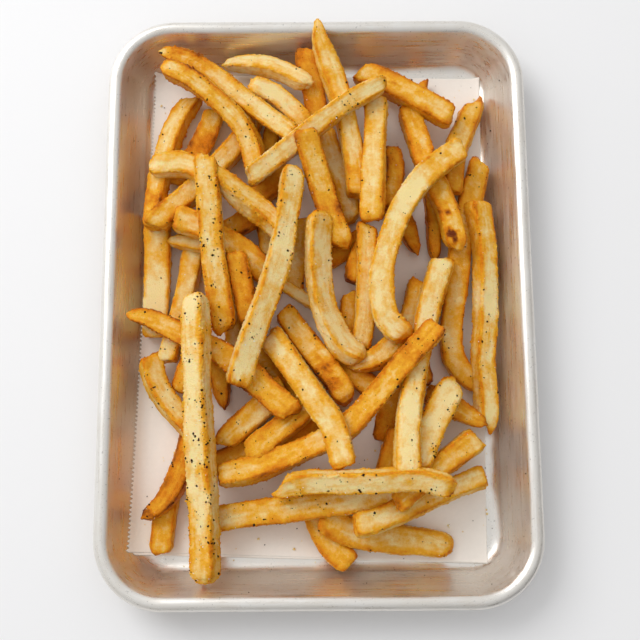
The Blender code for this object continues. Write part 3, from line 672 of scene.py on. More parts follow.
def smooth_line(points, count):
    """A smooth curve through the points, read at even steps along its length."""
    path = np.array(points, float)
    path = np.vstack([2 * path[0] - path[1], path, 2 * path[-1] - path[-2]])
    pieces = []
    t = np.linspace(0, 1, CURVE_STEPS, endpoint=False)[:, None]
    for a, b, c, d in zip(path, path[1:], path[2:], path[3:]):
        pieces.append(0.5 * (2 * b + (c - a) * t + (2 * a - 5 * b + 4 * c - d) * t ** 2
                             + (3 * b - a - 3 * c + d) * t ** 3))
    fine = np.vstack(pieces + [path[-2:-1]])
    run = np.concatenate([[0], np.cumsum(np.linalg.norm(np.diff(fine, axis=0), axis=1))])
    even = np.linspace(0, run[-1], count)
    return np.stack([np.interp(even, run, fine[:, k]) for k in range(2)], 1)


def section(width, thickness, roll):
    """The chamfered cross-section, as pairs of sideways and upward offsets, as wide as stated."""
    edge = 1 - CHAMFER
    corners = np.array([(1, edge), (edge, 1), (-edge, 1), (-1, edge),
                        (-1, -edge), (-edge, -1), (edge, -1), (1, -edge)])
    corners = corners * (width / 2, thickness / 2)
    turn = math.radians(roll)
    turned = corners @ np.array([[math.cos(turn), math.sin(turn)], [-math.sin(turn), math.cos(turn)]])
    return turned * (width / 2 / turned[:, 0].max())


def end_share(kind, distance, width):
    """The share of the full section that is left at a distance from an end."""
    reach, least = ENDS[kind]
    t = np.clip(distance / (reach * width), 0, 1)
    return least + (1 - least) * np.sqrt(1 - (1 - t) ** 2)


def below_sight(plan, height):
    """Where a point seen on the plan plane lies when it is really at another height."""
    eye = np.array(EYE[:2])
    share = (EYE[2] - np.asarray(height)) / (EYE[2] - PLAN_HEIGHT)
    return eye + (plan - eye) * share[:, None]


def sideways(line):
    """The level direction across a line at each of its points."""
    along = np.gradient(line, axis=0)
    along /= np.linalg.norm(along, axis=1)[:, None]
    return np.stack([along[:, 1], -along[:, 0]], 1)


def cells(points, field):
    """The rows and columns of a height field under some points."""
    column = np.clip((points[:, 0] / CELL + field.shape[1] / 2).astype(int), 0, field.shape[1] - 1)
    row = np.clip((points[:, 1] / CELL + field.shape[0] / 2).astype(int), 0, field.shape[0] - 1)
    return row, column


def height_over(field, line, across, corners, share):
    """How high the middle line has to be for the fry's underside to clear a height field."""
    need = np.zeros(len(line))
    for side, up in corners[corners[:, 1] < 0]:
        row, column = cells(line + across * (side * share)[:, None], field)
        need = np.maximum(need, field[row, column] - up * share)
    return need


def settle(fry, pile, ground):
    """Lays a fry on the pile as a nearly stiff stick: it sinks in a little and hangs over gaps."""
    points, width, thickness, roll, ends = fry[:5]
    length = np.linalg.norm(np.diff(np.array(points, float), axis=0), axis=1).sum()
    plan = smooth_line(points, max(LEAST_STATIONS, int(length / STATION)))
    place = np.linspace(-1, 1, len(plan))
    half = length / 2
    corners = section(width, thickness, roll)
    share = np.minimum(end_share(ends[0], (place + 1) * half, width),
                       end_share(ends[1], (1 - place) * half, width))
    terms = np.stack([np.ones_like(place), place, place ** 2], 1)
    stiffness = np.diag([0, SLOPE_STIFFNESS, BEND_STIFFNESS]) * len(place) / half ** 2
    height = np.full(len(plan), PLAN_HEIGHT)
    for _ in range(SETTLE_PASSES):
        line = below_sight(plan, height)
        across = sideways(line)
        floor = height_over(ground, line, across, corners, share)
        rest = np.maximum(height_over(pile, line, across, corners, share) - SINK, floor)
        fit = np.array([rest.max(), 0.0, 0.0])
        for _ in range(FIT_PASSES):
            weight = np.where(rest > terms @ fit, PUSH, 1.0) * share
            fit = np.linalg.solve((terms * weight[:, None]).T @ terms + stiffness,
                                  (terms * weight[:, None]).T @ rest)
            fit[1] = np.clip(fit[1], -MAX_SLOPE * half, MAX_SLOPE * half)
            fit[2] = np.clip(fit[2], -MAX_BEND * half, MAX_BEND * half)
            fit[0] = (weight * (rest - terms[:, 1:] @ fit[1:])).sum() / weight.sum()
        height = (height + terms @ fit) / 2
    for _ in range(LIFT_PASSES):
        line = below_sight(plan, height)
        floor = height_over(ground, line, sideways(line), corners, share)
        height += max(0.0, (floor - height).max())
    line = below_sight(plan, height)
    return {"line": line, "height": height, "share": share, "corners": corners, "length": length}


def add_to_pile(fry, pile):
    """Raises the pile's height field to the fry's upper side."""
    corners = fry["corners"]
    upper = corners[corners[:, 1] > 0]
    upper = upper[np.argsort(upper[:, 0])]
    count = len(fry["height"])
    steps = np.arange(0, count - 1, CELL / STATION / STEPS_PER_CELL)
    index = np.arange(count)
    line = np.stack([np.interp(steps, index, fry["line"][:, k]) for k in range(2)], 1)
    height = np.interp(steps, index, fry["height"])
    share = np.interp(steps, index, fry["share"])
    across = sideways(line)
    for side in np.linspace(upper[0, 0], upper[-1, 0], PILE_TRACKS):
        up = np.interp(side, upper[:, 0], upper[:, 1])
        spot = cells(line + across * (side * share)[:, None], pile)
        np.maximum.at(pile, spot, height + up * share)


def lay_heap():
    """Settles every fry in turn on those before it."""
    columns = int(TRAY_WIDTH / CELL / 2 + FIELD_MARGIN) * 2
    rows = int(TRAY_LENGTH / CELL / 2 + FIELD_MARGIN) * 2
    x = (np.arange(columns) - columns / 2 + 0.5) * CELL
    y = (np.arange(rows) - rows / 2 + 0.5) * CELL
    ground = tray_surface(*np.meshgrid(x, y), margin=WALL_CLEARANCE) + FRY_CLEARANCE
    pile = ground.copy()
    heap = []
    for fry in FRIES:
        laid = settle(fry, pile, ground)
        add_to_pile(laid, pile)
        heap.append(laid)
    return heap


def lattice(cell, seed):
    """An even random number from -1 to 1 for each whole-number cell."""
    with np.errstate(over="ignore"):
        mixed = np.uint32(seed * SCRAMBLE[3] % 2 ** 32)
        for k in range(3):
            mixed = mixed + cell[..., k].astype(np.uint32) * np.uint32(SCRAMBLE[k])
        mixed = (mixed ^ (mixed >> np.uint32(13))) * np.uint32(SCRAMBLE[4])
        mixed = mixed ^ (mixed >> np.uint32(16))
    return mixed.astype(float) / 2 ** 31 - 1


def noise(points, size, seed=0):
    """Smooth noise from -1 to 1 whose features are about size across."""
    scaled = points / size
    base = np.floor(scaled).astype(np.int64)
    t = scaled - base
    t = t * t * t * (t * (t * 6 - 15) + 10)
    total = np.zeros(points.shape[:-1])
    for corner in np.ndindex(2, 2, 2):
        weight = np.prod(np.where(corner, t, 1 - t), axis=-1)
        total += weight * lattice(base + np.array(corner), seed)
    return total


def rough_noise(points, size, seed=0, octaves=3):
    """Layers of noise, each half the size and half the height of the last."""
    return sum(noise(points, size / 2 ** k, seed + k) / 2 ** k for k in range(octaves)) / ROUGH_RANGE


def blisters(points, size, seed, share):
    """Round bumps from 0 to 1 in a share of the cells of a jittered lattice."""
    scaled = points / size
    base = np.floor(scaled).astype(np.int64)
    best = np.zeros(points.shape[:-1])
    for corner in np.ndindex(3, 3, 3):
        cell = base + np.array(corner) - 1
        centre = cell + 0.5 + BLISTER_STRAY * np.stack([lattice(cell, seed + k) for k in range(3)], -1)
        radius = BLISTER_RADIUS + BLISTER_SPREAD * lattice(cell, seed + 3)
        there = lattice(cell, seed + 4) > 1 - 2 * share
        away = np.linalg.norm(scaled - centre, axis=-1) / radius
        best = np.maximum(best, np.where(there, np.clip(1 - away ** 2, 0, 1), 0))
    return best


def edge_share(section):
    """How close points of a section are to its four long edges: 0 on its faces, 1 on the edges."""
    return np.clip((np.abs(section).min(-1) - EDGE_FROM) / EDGE_BAND, 0, 1)


def cut_section(rng, count):
    """Points round a knife-cut section, each from -1 to 1 both ways, closer together at its edges."""
    power = rng.uniform(*SECTION_POWER)
    turn = np.linspace(0, 2 * math.pi, SECTION_FINENESS)
    ring = np.stack([np.cos(turn), np.sin(turn)], 1)
    ring /= ((np.abs(ring) ** power).sum(1) ** (1 / power))[:, None]
    lengths = np.linalg.norm(np.diff(ring, axis=0), axis=1)
    run = np.concatenate([[0], np.cumsum(lengths * (1 + EDGE_CROWD * edge_share(ring[1:])))])
    even = np.arange(count) / count * run[-1]
    return np.stack([np.interp(even, run, ring[:, k]) for k in range(2)], 1)


def skewed(section, rng):
    """Tapers a section a little across and up, as an uneven cut does."""
    across, up = rng.uniform(-SKEW, SKEW, 2)
    uneven = section * np.stack([1 + across * section[:, 1], 1 + up * section[:, 0]], 1)
    return uneven / np.abs(uneven).max(0)


def ring_frames(laid, kinds, step):
    """A fry's rings: centres, level side directions, directions along, and shares of the section."""
    count = max(LEAST_RINGS, int(laid["length"] / step))
    index = np.arange(len(laid["share"]))
    steps = np.linspace(0, len(index) - 1, count)
    rows = (laid["line"][:, 0], laid["line"][:, 1], laid["height"])
    centre = np.stack([np.interp(steps, index, row) for row in rows], 1)
    side = sideways(centre[:, :2])
    along = np.gradient(centre, axis=0)
    along /= np.linalg.norm(along, axis=1)[:, None]
    share = np.interp(steps, index, laid["share"])
    first, last = (END_NARROWING.get(kind, 1.0) for kind in kinds)
    share = 1 - (1 - share) * np.where(np.arange(count) < count / 2, first, last)
    caps, bulge = np.array(CAP_SHARES), np.array(CAP_BULGES)
    more = len(caps)
    centre = np.vstack([centre[0] - along[0] * bulge[::-1, None], centre,
                        centre[-1] + along[-1] * bulge[:, None]])
    side = np.vstack([[side[0]] * more, side, [side[-1]] * more])
    along = np.vstack([[along[0]] * more, along, [along[-1]] * more])
    share = np.concatenate([share[0] * caps[::-1], share, share[-1] * caps])
    return centre, side, along, share


def along_noise(run, size, seed):
    """Smooth noise from -1 to 1 at distances along a fry."""
    return noise(np.stack([run, run * 0 + 0.5 * size, run * 0], 1), size, seed)


def fry_body(row, laid, number, step, around, rng):
    """A fry's smooth form: its points, centres, shares, distances along it, and its section."""
    _, width, thickness, roll, kinds = row[:5]
    centre, side, along, share = ring_frames(laid, kinds, step)
    shape = cut_section(rng, around)
    flat = skewed(shape, rng) * (width / 2, thickness / 2)
    run = np.concatenate([[0], np.cumsum(np.linalg.norm(np.diff(centre, axis=0), axis=1))])
    level = math.radians(roll)
    turn = level + TWIST * along_noise(run, TWIST_LENGTH, number + 200)
    fitted = FULLNESS * width / 2 / np.abs(flat @ (math.cos(level), -math.sin(level))).max()
    wide = fitted * (1 + WIDTH_WAVE * along_noise(run, WIDTH_WAVE_LENGTH, number + 50)
                     + WIDTH_RIPPLE * along_noise(run, WIDTH_RIPPLE_LENGTH, number + 90))
    deep = 1 + THICKNESS_WAVE * along_noise(run, THICKNESS_WAVE_LENGTH, number + 130)
    cos, sin = np.cos(turn)[:, None], np.sin(turn)[:, None]
    across = (flat[None, :, 0] * cos - flat[None, :, 1] * sin) * wide[:, None]
    up = (flat[None, :, 0] * sin + flat[None, :, 1] * cos) * deep[:, None] * fitted
    drift = DRIFT * along_noise(run, DRIFT_LENGTH, number)
    aside = (across + drift[:, None]) * share[:, None]
    grid = np.zeros((len(centre), around, 3))
    grid[..., :2] = centre[:, None, :2] + side[:, None] * aside[..., None]
    grid[..., 2] = centre[:, 2, None] + up * share[:, None]
    slants = [HAND_CUT[kind] if kind in HAND_CUT else rng.uniform(-SLANT, SLANT) for kind in kinds]
    slants[0] = OTHER_WAY.get(number, slants[0])
    for slant, reach, sign in ((slants[0], run, 1), (slants[1], run[-1] - run, -1)):
        fall = sign * np.clip(1 - reach / (SLANT_REACH * width), 0, 1)[:, None] ** 2
        tilt = rng.uniform(-TILT, TILT)
        lean = slant * across / (width / 2) + tilt * up / (thickness / 2)
        grid += along[:, None] * (fall * lean)[..., None]
    return grid, centre, share, run, shape


def hand_marks(grid):
    """How much browner and how much rougher each point is for the listed marks."""
    browner = np.zeros(grid.shape[:2])
    rougher = np.zeros(grid.shape[:2])
    eye = np.array(EYE[:2])
    nearer = (EYE[2] - PLAN_HEIGHT) / (EYE[2] - grid[..., 2])
    seen = eye + (grid[..., :2] - eye) * nearer[..., None]
    wobble = np.clip(1 + MARK_WOBBLE * rough_noise(grid, MARK_WOBBLE_SIZE, MARK_SEED), 0.3, 2)
    for x, y, radius, brown, rough in MARKS:
        away = np.hypot(seen[..., 0] - x, seen[..., 1] - y) / (radius * wobble)
        near = np.clip(MARK_SOLID - away, 0, 1)
        browner = np.maximum(browner, brown * near)
        rougher = np.maximum(rougher, rough * near)
    return browner, rougher


def outward_normals(grid, centre):
    """Unit normals of a grid of points, pointing away from the fry's middle line."""
    normal = np.cross(np.roll(grid, -1, 1) - np.roll(grid, 1, 1), np.gradient(grid, axis=0))
    normal /= np.maximum(np.linalg.norm(normal, axis=2), TINY)[..., None]
    outward = (normal * (grid - centre[:, None])).sum(2).mean()
    return normal * (1 if outward > 0 else -1)


def fibre_noise(grid, run, shape, number):
    """Noise drawn long along a fry, as its cut fibres are."""
    parts = (run[:, None] / FIBRE_LENGTH, shape[None, :, 0] * FIBRE_COUNT + number,
             shape[None, :, 1] * FIBRE_COUNT)
    spread = np.stack([np.broadcast_to(part, grid.shape[:2]) for part in parts], -1)
    return rough_noise(spread, 1.0, number, 2)


def fry_skin(row, laid, number, step, around, relief):
    """One fry's skin: its points in millimetres, ring by ring, and how brown each one is."""
    rng = np.random.default_rng(FRY_SEED + number)
    grid, centre, share, run, shape = fry_body(row, laid, number, step, around, rng)
    width, tone_and_painted_light = row[1], row[5]
    tip = np.clip(1 - np.minimum(run, run[-1] - run) / (TIP_REACH * width), 0, 1)[:, None]
    edge = np.maximum(edge_share(shape)[None, :], TIP_ROUGHNESS * tip)
    upright = np.clip((np.abs(shape[:, 0]) - np.abs(shape[:, 1])) * 3, -1, 1) / 2 + 0.5
    turn = np.arctan2(shape[:, 1], shape[:, 0]) + math.pi / 4
    quarter = np.floor(turn / (math.pi / 2)).astype(int) % 4
    # the upright sides get painted shade, and each face gets a tone of its own at random
    face = PAINTED_SIDE_SHADE * upright + rng.uniform(-FACE_SPREAD, FACE_SPREAD, 4)[quarter]
    swell = rough_noise(grid, SWELL_SIZE, number * 7)
    fibre = fibre_noise(grid, run, shape, number)
    crust = np.abs(rough_noise(grid, CRUST_SIZE, number * 3 + 1))
    crumb = np.maximum(blisters(grid, LARGE_CRUMB, number * 5, LARGE_CRUMB_SHARE),
                       SMALL_CRUMB_HEIGHT * blisters(grid, SMALL_CRUMB, number * 5 + 50, SMALL_CRUMB_SHARE))
    browner, rougher = hand_marks(grid)
    coarse = np.maximum(edge, SIDE_COARSENESS * upright[None, :])
    lift = (SWELL_LIFT * swell + FIBRE_LIFT * fibre
            + (FACE_CRUST + EDGE_CRUST * coarse) * (crust - MEAN_CRUST)
            + (FACE_CRUMB + EDGE_CRUMB * coarse + MARK_CRUMB * rougher) * crumb
            + rougher * (crust - MARK_DIP) - FACE_DIP * (1 - edge))
    lift *= relief * np.clip(share / FULL_RELIEF_SHARE, LEAST_RELIEF, 1)[:, None]
    grid = grid + outward_normals(grid, centre) * lift[..., None]
    ground = tray_surface(grid[..., 0], grid[..., 1]) + SKIN_CLEARANCE
    grid[..., 2] = np.maximum(grid[..., 2], ground)
    patch = noise(grid, PATCH_SIZE, number * 13 + 5)
    toasted = np.clip(TOAST_MEAN + TOAST_SPREAD * rough_noise(grid, TOAST_SIZE, number * 11 + 2), 0.1, 1.6)
    aside = np.clip((np.abs(shape).min(-1) - ASIDE_FROM) / ASIDE_BAND, 0, 1)[None, :]
    # a fry's own tone carries painted shade on the low fries and painted light on some top ones
    brown = (BASE_BROWN + tone_and_painted_light + PATCH_BROWN * patch + face[None, :] + EDGE_BROWN * edge ** 1.2 * toasted
             + ASIDE_BROWN * aside + SWELL_BROWN * (swell + fibre) + TIP_BROWN * tip
             + crumb * (CRUMB_BROWN - EDGE_CRUMB_PALER * edge) + browner + MARK_CRUST_BROWN * rougher * crust)
    return grid, brown


def ring_quads(rings, around, start=0):
    """Quads between closed rings of points."""
    ring = start + np.arange(rings - 1)[:, None] * around
    here = ring + np.arange(around)[None, :]
    beside = ring + (np.arange(around)[None, :] + 1) % around
    return np.stack([here, beside, beside + around, here + around], -1).reshape(-1, 4).tolist()


def skin_faces(rings, around, start):
    """Quads between a fry's rings, and a fan of triangles onto a tip point at each end."""
    tip = start + rings * around
    last = start + (rings - 1) * around
    fans = []
    for i in range(around):
        j = (i + 1) % around
        fans.append((start + j, start + i, tip))
        fans.append((last + i, last + j, tip + 1))
    return ring_quads(rings, around, start) + fans


def mesh_piece(name, points, faces, material, numbers=None, vectors=None, smooth=True):
    """Makes a piece of points in millimetres, gives it its attributes, and lets it ride on the body."""
    mesh = bpy.data.meshes.new(name)
    mesh.from_pydata((np.asarray(points) * MM).tolist(), [], faces)
    for key, values in (numbers or {}).items():
        mesh.attributes.new(key, "FLOAT", "POINT").data.foreach_set("value", np.float32(values).reshape(-1))
    for key, values in (vectors or {}).items():
        flat = np.float32(values).reshape(-1)
        mesh.attributes.new(key, "FLOAT_VECTOR", "POINT").data.foreach_set("vector", flat)
    shaped = bmesh.new()
    shaped.from_mesh(mesh)
    bmesh.ops.recalc_face_normals(shaped, faces=shaped.faces)
    shaped.to_mesh(mesh)
    shaped.free()
    mesh.materials.append(material)
    if smooth:
        mesh.shade_smooth()
    piece = bpy.data.objects.new(name, mesh)
    bpy.context.scene.collection.objects.link(piece)
    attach(piece, "root")
    return piece


def fry_piece(layer, heap, relief, material):
    """Joins the fries of one layer into one piece."""
    name, first, end, step, around = layer
    points, faces, browning, seasoning = [], [], [], []
    start = 0
    for number in range(first, end):
        grid, brown = fry_skin(FRIES[number], heap[number], number, step, around, relief)
        rings = len(grid)
        points += [grid.reshape(-1, 3), grid[[0, -1]].mean(1)]
        browning += [brown.reshape(-1), brown[[0, -1]].mean(1)]
        faces += skin_faces(rings, around, start)
        start += rings * around + 2
        along = np.zeros(rings)
        along[BARE_RINGS:-BARE_RINGS] = FRIES[number][6] * step / around
        seasoning += [np.repeat(along, around), (0.0, 0.0)]
    return mesh_piece(name, np.vstack(points), faces, material,
                      {"browning": np.concatenate(browning), "seasoning": np.concatenate(seasoning)})


def specks(name, places, sizes, seed, material, flat=0.6):
    """One piece of small broken grains: each a stretched and turned solid of twenty sides."""
    rng = np.random.default_rng(seed)
    grain = bmesh.new()
    bmesh.ops.create_icosphere(grain, subdivisions=1, radius=0.5)
    shape = np.array([v.co for v in grain.verts])
    sides = np.array([[v.index for v in f.verts] for f in grain.faces])
    grain.free()
    points, faces = [], []
    for number, (place, size) in enumerate(zip(places, sizes)):
        jitter = shape * (1 + rng.uniform(-SPECK_JITTER, SPECK_JITTER, (len(shape), 1)))
        stretch = jitter * (rng.uniform(*SPECK_STRETCH), rng.uniform(*SPECK_STRETCH),
                            flat * rng.uniform(*SPECK_FLATNESS))
        turn = rng.uniform(0, 2 * math.pi)
        cos, sin = math.cos(turn), math.sin(turn)
        points.append(stretch @ np.array([[cos, sin, 0], [-sin, cos, 0], [0, 0, 1]]) * size + place)
        faces += (sides + number * len(shape)).tolist()
    return mesh_piece(name, np.vstack(points), faces, material, smooth=False)


def grain_sizes(rng, count, spread):
    """Random sizes in mm: a least size, and how much more with how few large ones."""
    least, more, power = spread
    return least + more * rng.random(count) ** power


def heap_surface():
    """The places and share of seasoning of the fries' points that show from above, and their height."""
    places, lean, share = [], [], []
    for name, *_ in LAYERS:
        if name not in bpy.data.objects:
            raise RuntimeError("The fries have to be built before they are seasoned")
        mesh = bpy.data.objects[name].data
        count = len(mesh.vertices)
        spots, normals, amount = np.zeros(count * 3), np.zeros(count * 3), np.zeros(count)
        mesh.vertices.foreach_get("co", spots)
        mesh.vertices.foreach_get("normal", normals)
        mesh.attributes["seasoning"].data.foreach_get("value", amount)
        places.append(spots.reshape(-1, 3) / MM)
        lean.append(normals.reshape(-1, 3)[:, 2])
        share.append(amount)
    places, lean, share = np.vstack(places), np.concatenate(lean), np.concatenate(share)
    top = np.zeros([int(side / CELL) + 2 * FIELD_MARGIN for side in (TRAY_LENGTH, TRAY_WIDTH)])
    np.maximum.at(top, cells(places, top), places[:, 2])
    shows = (lean > SPECK_LEAN) & (places[:, 2] > top[cells(places, top)] - SPECK_DEPTH)
    return places[shows], share[shows], top


def scatter(places, share, count, seed, clump):
    """Picks places on the fries in clumps of a size."""
    rng = np.random.default_rng(seed)
    clumps = np.clip(CLUMP_MEAN + CLUMP_SPREAD * rough_noise(places, clump, seed), CLUMP_LEAST, None)
    weights = clumps ** CLUMP_POWER * share
    picked = rng.choice(len(places), min(count, len(places)), replace=False, p=weights / weights.sum())
    return places[picked]


def bare_places(top, count, low, seed):
    """Random places on the paper and the tray that no fry covers."""
    rng = np.random.default_rng(seed)
    spots = []
    while len(spots) < count:
        x, y = rng.uniform(-0.5, 0.5, 2) * (TRAY_WIDTH - 2 * RIM_RADIUS, TRAY_LENGTH - 2 * RIM_RADIUS)
        height = float(tray_surface(x, y))
        row, column = cells(np.array([[x, y]]), top)
        if top[row[0], column[0]] < height and past_outline(x, y, 2 * RIM_RADIUS) < 0 and height < low:
            spots.append((x, y, height + (PAPER_TOP if height < SHEET + 0.5 else ON_METAL)))
    return np.array(spots)


def cove_line(radius, low, turns):
    """The bend between floor and wall, as insets and heights."""
    return [(FLOOR_INSET - radius * math.sin(a), low + radius * (1 - math.cos(a))) for a in turns]


def tray_profile():
    """The section of the tray's edge, as insets and heights: cove, wall, rolled rim, underside."""
    lean = wall_lean()
    turns = np.linspace(0, lean, COVE_POINTS)
    inner = cove_line(COVE_RADIUS, SHEET, turns)
    roll = [(RIM_RADIUS - RIM_RADIUS * math.cos(a), RIM_MIDDLE + RIM_RADIUS * math.sin(a))
            for a in np.linspace(math.pi / 2 + lean, RIM_ROLL_END, ROLL_POINTS)]
    foot, head = inner[-1], roll[0]
    wall = [(foot[0] + (head[0] - foot[0]) * t, foot[1] + (head[1] - foot[1]) * t) for t in (0.25, 0.5, 0.75)]
    return np.array(inner + wall + roll + cove_line(COVE_RADIUS + SHEET, 0.0, turns[::-1]))


def tray_outline():
    """Points round the tray: for each the corner or side it turns about, and the way outwards."""
    spots = []
    for quarter, (x, y) in enumerate(QUARTERS):
        for step in range(CORNER_STEPS + 1):
            turn = (quarter + step / CORNER_STEPS) * math.pi / 2
            spots.append((x * STRAIGHT_X, y * STRAIGHT_Y, math.cos(turn), math.sin(turn)))
        next_x, next_y = QUARTERS[(quarter + 1) % 4]
        pieces = int(2 * (STRAIGHT_Y if quarter % 2 else STRAIGHT_X) / SIDE_STEP)
        turn = (quarter + 1) * math.pi / 2
        for t in np.arange(1, pieces) / pieces:
            spots.append((STRAIGHT_X * (x + (next_x - x) * t), STRAIGHT_Y * (y + (next_y - y) * t),
                          math.cos(turn), math.sin(turn)))
    return np.array(spots)


def oil_and_painted_shade(grid):
    """How much baked-on oil and painted shade cover each point: none on the rim, most on the left and far
    walls, which face away from the lamp.
    """
    x, y, z = grid[..., 0], grid[..., 1], grid[..., 2]
    oil_and_shade = OIL_AND_SHADE_SHARE * np.clip((RIM_MIDDLE + OIL_AND_SHADE_TOP - z) / OIL_AND_SHADE_TOP_FADE, 0, 1)
    oil_and_shade *= np.clip((z - SHEET - OIL_AND_SHADE_FOOT) / OIL_AND_SHADE_FOOT_FADE, OIL_AND_SHADE_ON_FLOOR, 1)
    oil_and_shade *= np.clip(1 + OIL_AND_SHADE_PATCHINESS * rough_noise(grid, OIL_AND_SHADE_PATCH, OIL_AND_SHADE_SEED, 3), 0.3, 1.6)
    # painted shade: more on the left and far walls, which face away from the lamp, and less on the right and
    # near ones
    return oil_and_shade * np.clip(PAINTED_SHADE_ALL_ROUND - x / TRAY_WIDTH + 0.5 * y / TRAY_LENGTH, PAINTED_SHADE_LEAST, 1.0)


def tray_rings(wave):
    """The tray's skin as rings from the floor over the rim to the underside, and its attributes."""
    profile = tray_profile()
    spots = tray_outline()
    grid = np.zeros((len(profile), len(spots), 3))
    grid[..., :2] = spots[None, :, :2] + spots[None, :, 2:] * (TRAY_CORNER - profile[:, 0])[:, None, None]
    grid[..., 2] = profile[:, 1, None]
    ease = np.clip((profile[:, 1] - WAVE_FROM) / WAVE_RISE, 0, 1)[:, None]
    bend = wave * rough_noise(grid, WAVE_SIZE, WAVE_SEED, 2) * ease
    grid[..., :2] += bend[..., None] * spots[None, :, 2:]
    level = LEVEL_WAVE * wave * noise(grid, LEVEL_WAVE_SIZE, LEVEL_WAVE_SEED) * ease
    grid[..., 2] = np.minimum(grid[..., 2] + level, TRAY_HEIGHT)
    rounds = np.linspace(0, 2 * math.pi, len(spots), endpoint=False)
    radius = TRAY_ROUND / (2 * math.pi) / LINE_LENGTH
    down = np.concatenate([[0], np.cumsum(np.linalg.norm(np.diff(profile, axis=0), axis=1))])
    parts = (radius * np.cos(rounds), radius * np.sin(rounds), down[:, None] / LINE_PITCH)
    grain = np.stack([np.broadcast_to(part, grid.shape[:2]) for part in parts], -1)
    slope = np.gradient(grid, axis=0)
    slope /= np.maximum(np.linalg.norm(slope, axis=2), TINY)[..., None]
    return grid, grain, slope, oil_and_painted_shade(grid)


def paper_leaf(corners, lift, pitch, depth):
    """One leaf of the folded sheet: its two faces as grids, with teeth cut in its left edge."""
    near_left, near_right, far_right, far_left = (np.array(c) for c in corners)
    rows = int(np.linalg.norm(far_left - near_left) / pitch) * TOOTH_ROWS
    along = np.linspace(0, 1, rows + 1)
    across = 0.5 - 0.5 * np.cos(math.pi * np.linspace(0, 1, PAPER_BANDS + 1))
    near = near_left + (near_right - near_left) * across[:, None]
    far = far_left + (far_right - far_left) * across[:, None]
    spread = near[None] + (far - near)[None] * along[:, None, None]
    saw = np.abs(np.arange(rows + 1) % TOOTH_ROWS - TOOTH_ROWS / 2) / (TOOTH_ROWS / 2) * depth
    spread[:, :, 0] += saw[:, None] * np.clip(1 - across * 40, 0, 1)
    ground = tray_surface(spread[..., 0], spread[..., 1])
    flat = np.concatenate([spread, np.zeros((*ground.shape, 1))], -1)
    swell = PAPER_SWELL * np.clip(0.4 + rough_noise(flat, PAPER_SWELL_SIZE, 3, 2), 0, 1)
    low = np.concatenate([spread, (ground + PAPER_GAP + lift + swell)[..., None]], -1)
    return np.stack([low, low + (0, 0, LEAF)])


def leaf_faces(rows, columns, start):
    """Faces of a thin closed sheet: its two sides and the strip round its edge."""
    above = rows * columns
    at = start + np.arange(above).reshape(rows, columns)
    low = np.stack([at[:-1, :-1], at[1:, :-1], at[1:, 1:], at[:-1, 1:]], -1).reshape(-1, 4)
    rim = np.concatenate([at[0, :-1], at[:-1, -1], at[-1, :0:-1], at[:0:-1, 0]])
    ahead = np.roll(rim, -1)
    strip = np.stack([rim, ahead, ahead + above, rim + above], -1)
    both = np.stack([low, low[:, ::-1] + above], 1).reshape(-1, 4)
    return both.tolist() + strip.tolist()


class TRAYFRIES_OT_tray(bpy.types.Operator):
    """Builds the aluminium tray with its rolled rim"""
    bl_idname = "trayfries.tray"
    bl_label = "Baking tray"

    def execute(self, context):
        settings = context.scene.trayfries_tray
        grid, grain, slope, oil_and_shade = tray_rings(settings.wave)
        rings, around = grid.shape[:2]
        faces = ring_quads(rings, around)
        faces += [list(range(around)), list(range((rings - 1) * around, rings * around))]
        piece = mesh_piece("tray_pan", grid.reshape(-1, 3), faces, pressed_aluminium(settings),
                           {"oil_and_shade": oil_and_shade}, {"grain": grain, "down": slope})
        piece.data.set_sharp_from_angle(angle=SHARP_FROM)
        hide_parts("tray")
        return {"FINISHED"}


class TRAYFRIES_OT_paper(bpy.types.Operator):
    """Builds the folded sheet of baking paper with its torn edge"""
    bl_idname = "trayfries.paper"
    bl_label = "Baking paper"

    def execute(self, context):
        settings = context.scene.trayfries_paper
        lower = np.array(PAPER_CORNERS) + LOWER_LEAF_SHIFT
        points, faces = [], []
        start = 0
        for corners, lift in ((lower, 0.0), (PAPER_CORNERS, LEAF + LEAF_GAP)):
            leaf = paper_leaf(corners, lift, settings.pitch, settings.depth)
            faces += leaf_faces(leaf.shape[1], leaf.shape[2], start)
            points.append(leaf.reshape(-1, 3))
            start += len(points[-1])
        piece = mesh_piece("paper_sheet", np.vstack(points), faces, greaseproof_paper(settings))
        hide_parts("paper_liner")
        return {"FINISHED"}


class TRAYFRIES_OT_fries(bpy.types.Operator):
    """Builds the heap of fries, in pieces from the lowest to the highest"""
    bl_idname = "trayfries.fries"
    bl_label = "Fries"

    def execute(self, context):
        settings = context.scene.trayfries_fries
        material = deep_fried_potato(settings)
        heap = lay_heap()
        for layer in LAYERS:
            piece = fry_piece(layer, heap, settings.relief, material)
            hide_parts("fries")
        return {"FINISHED"}


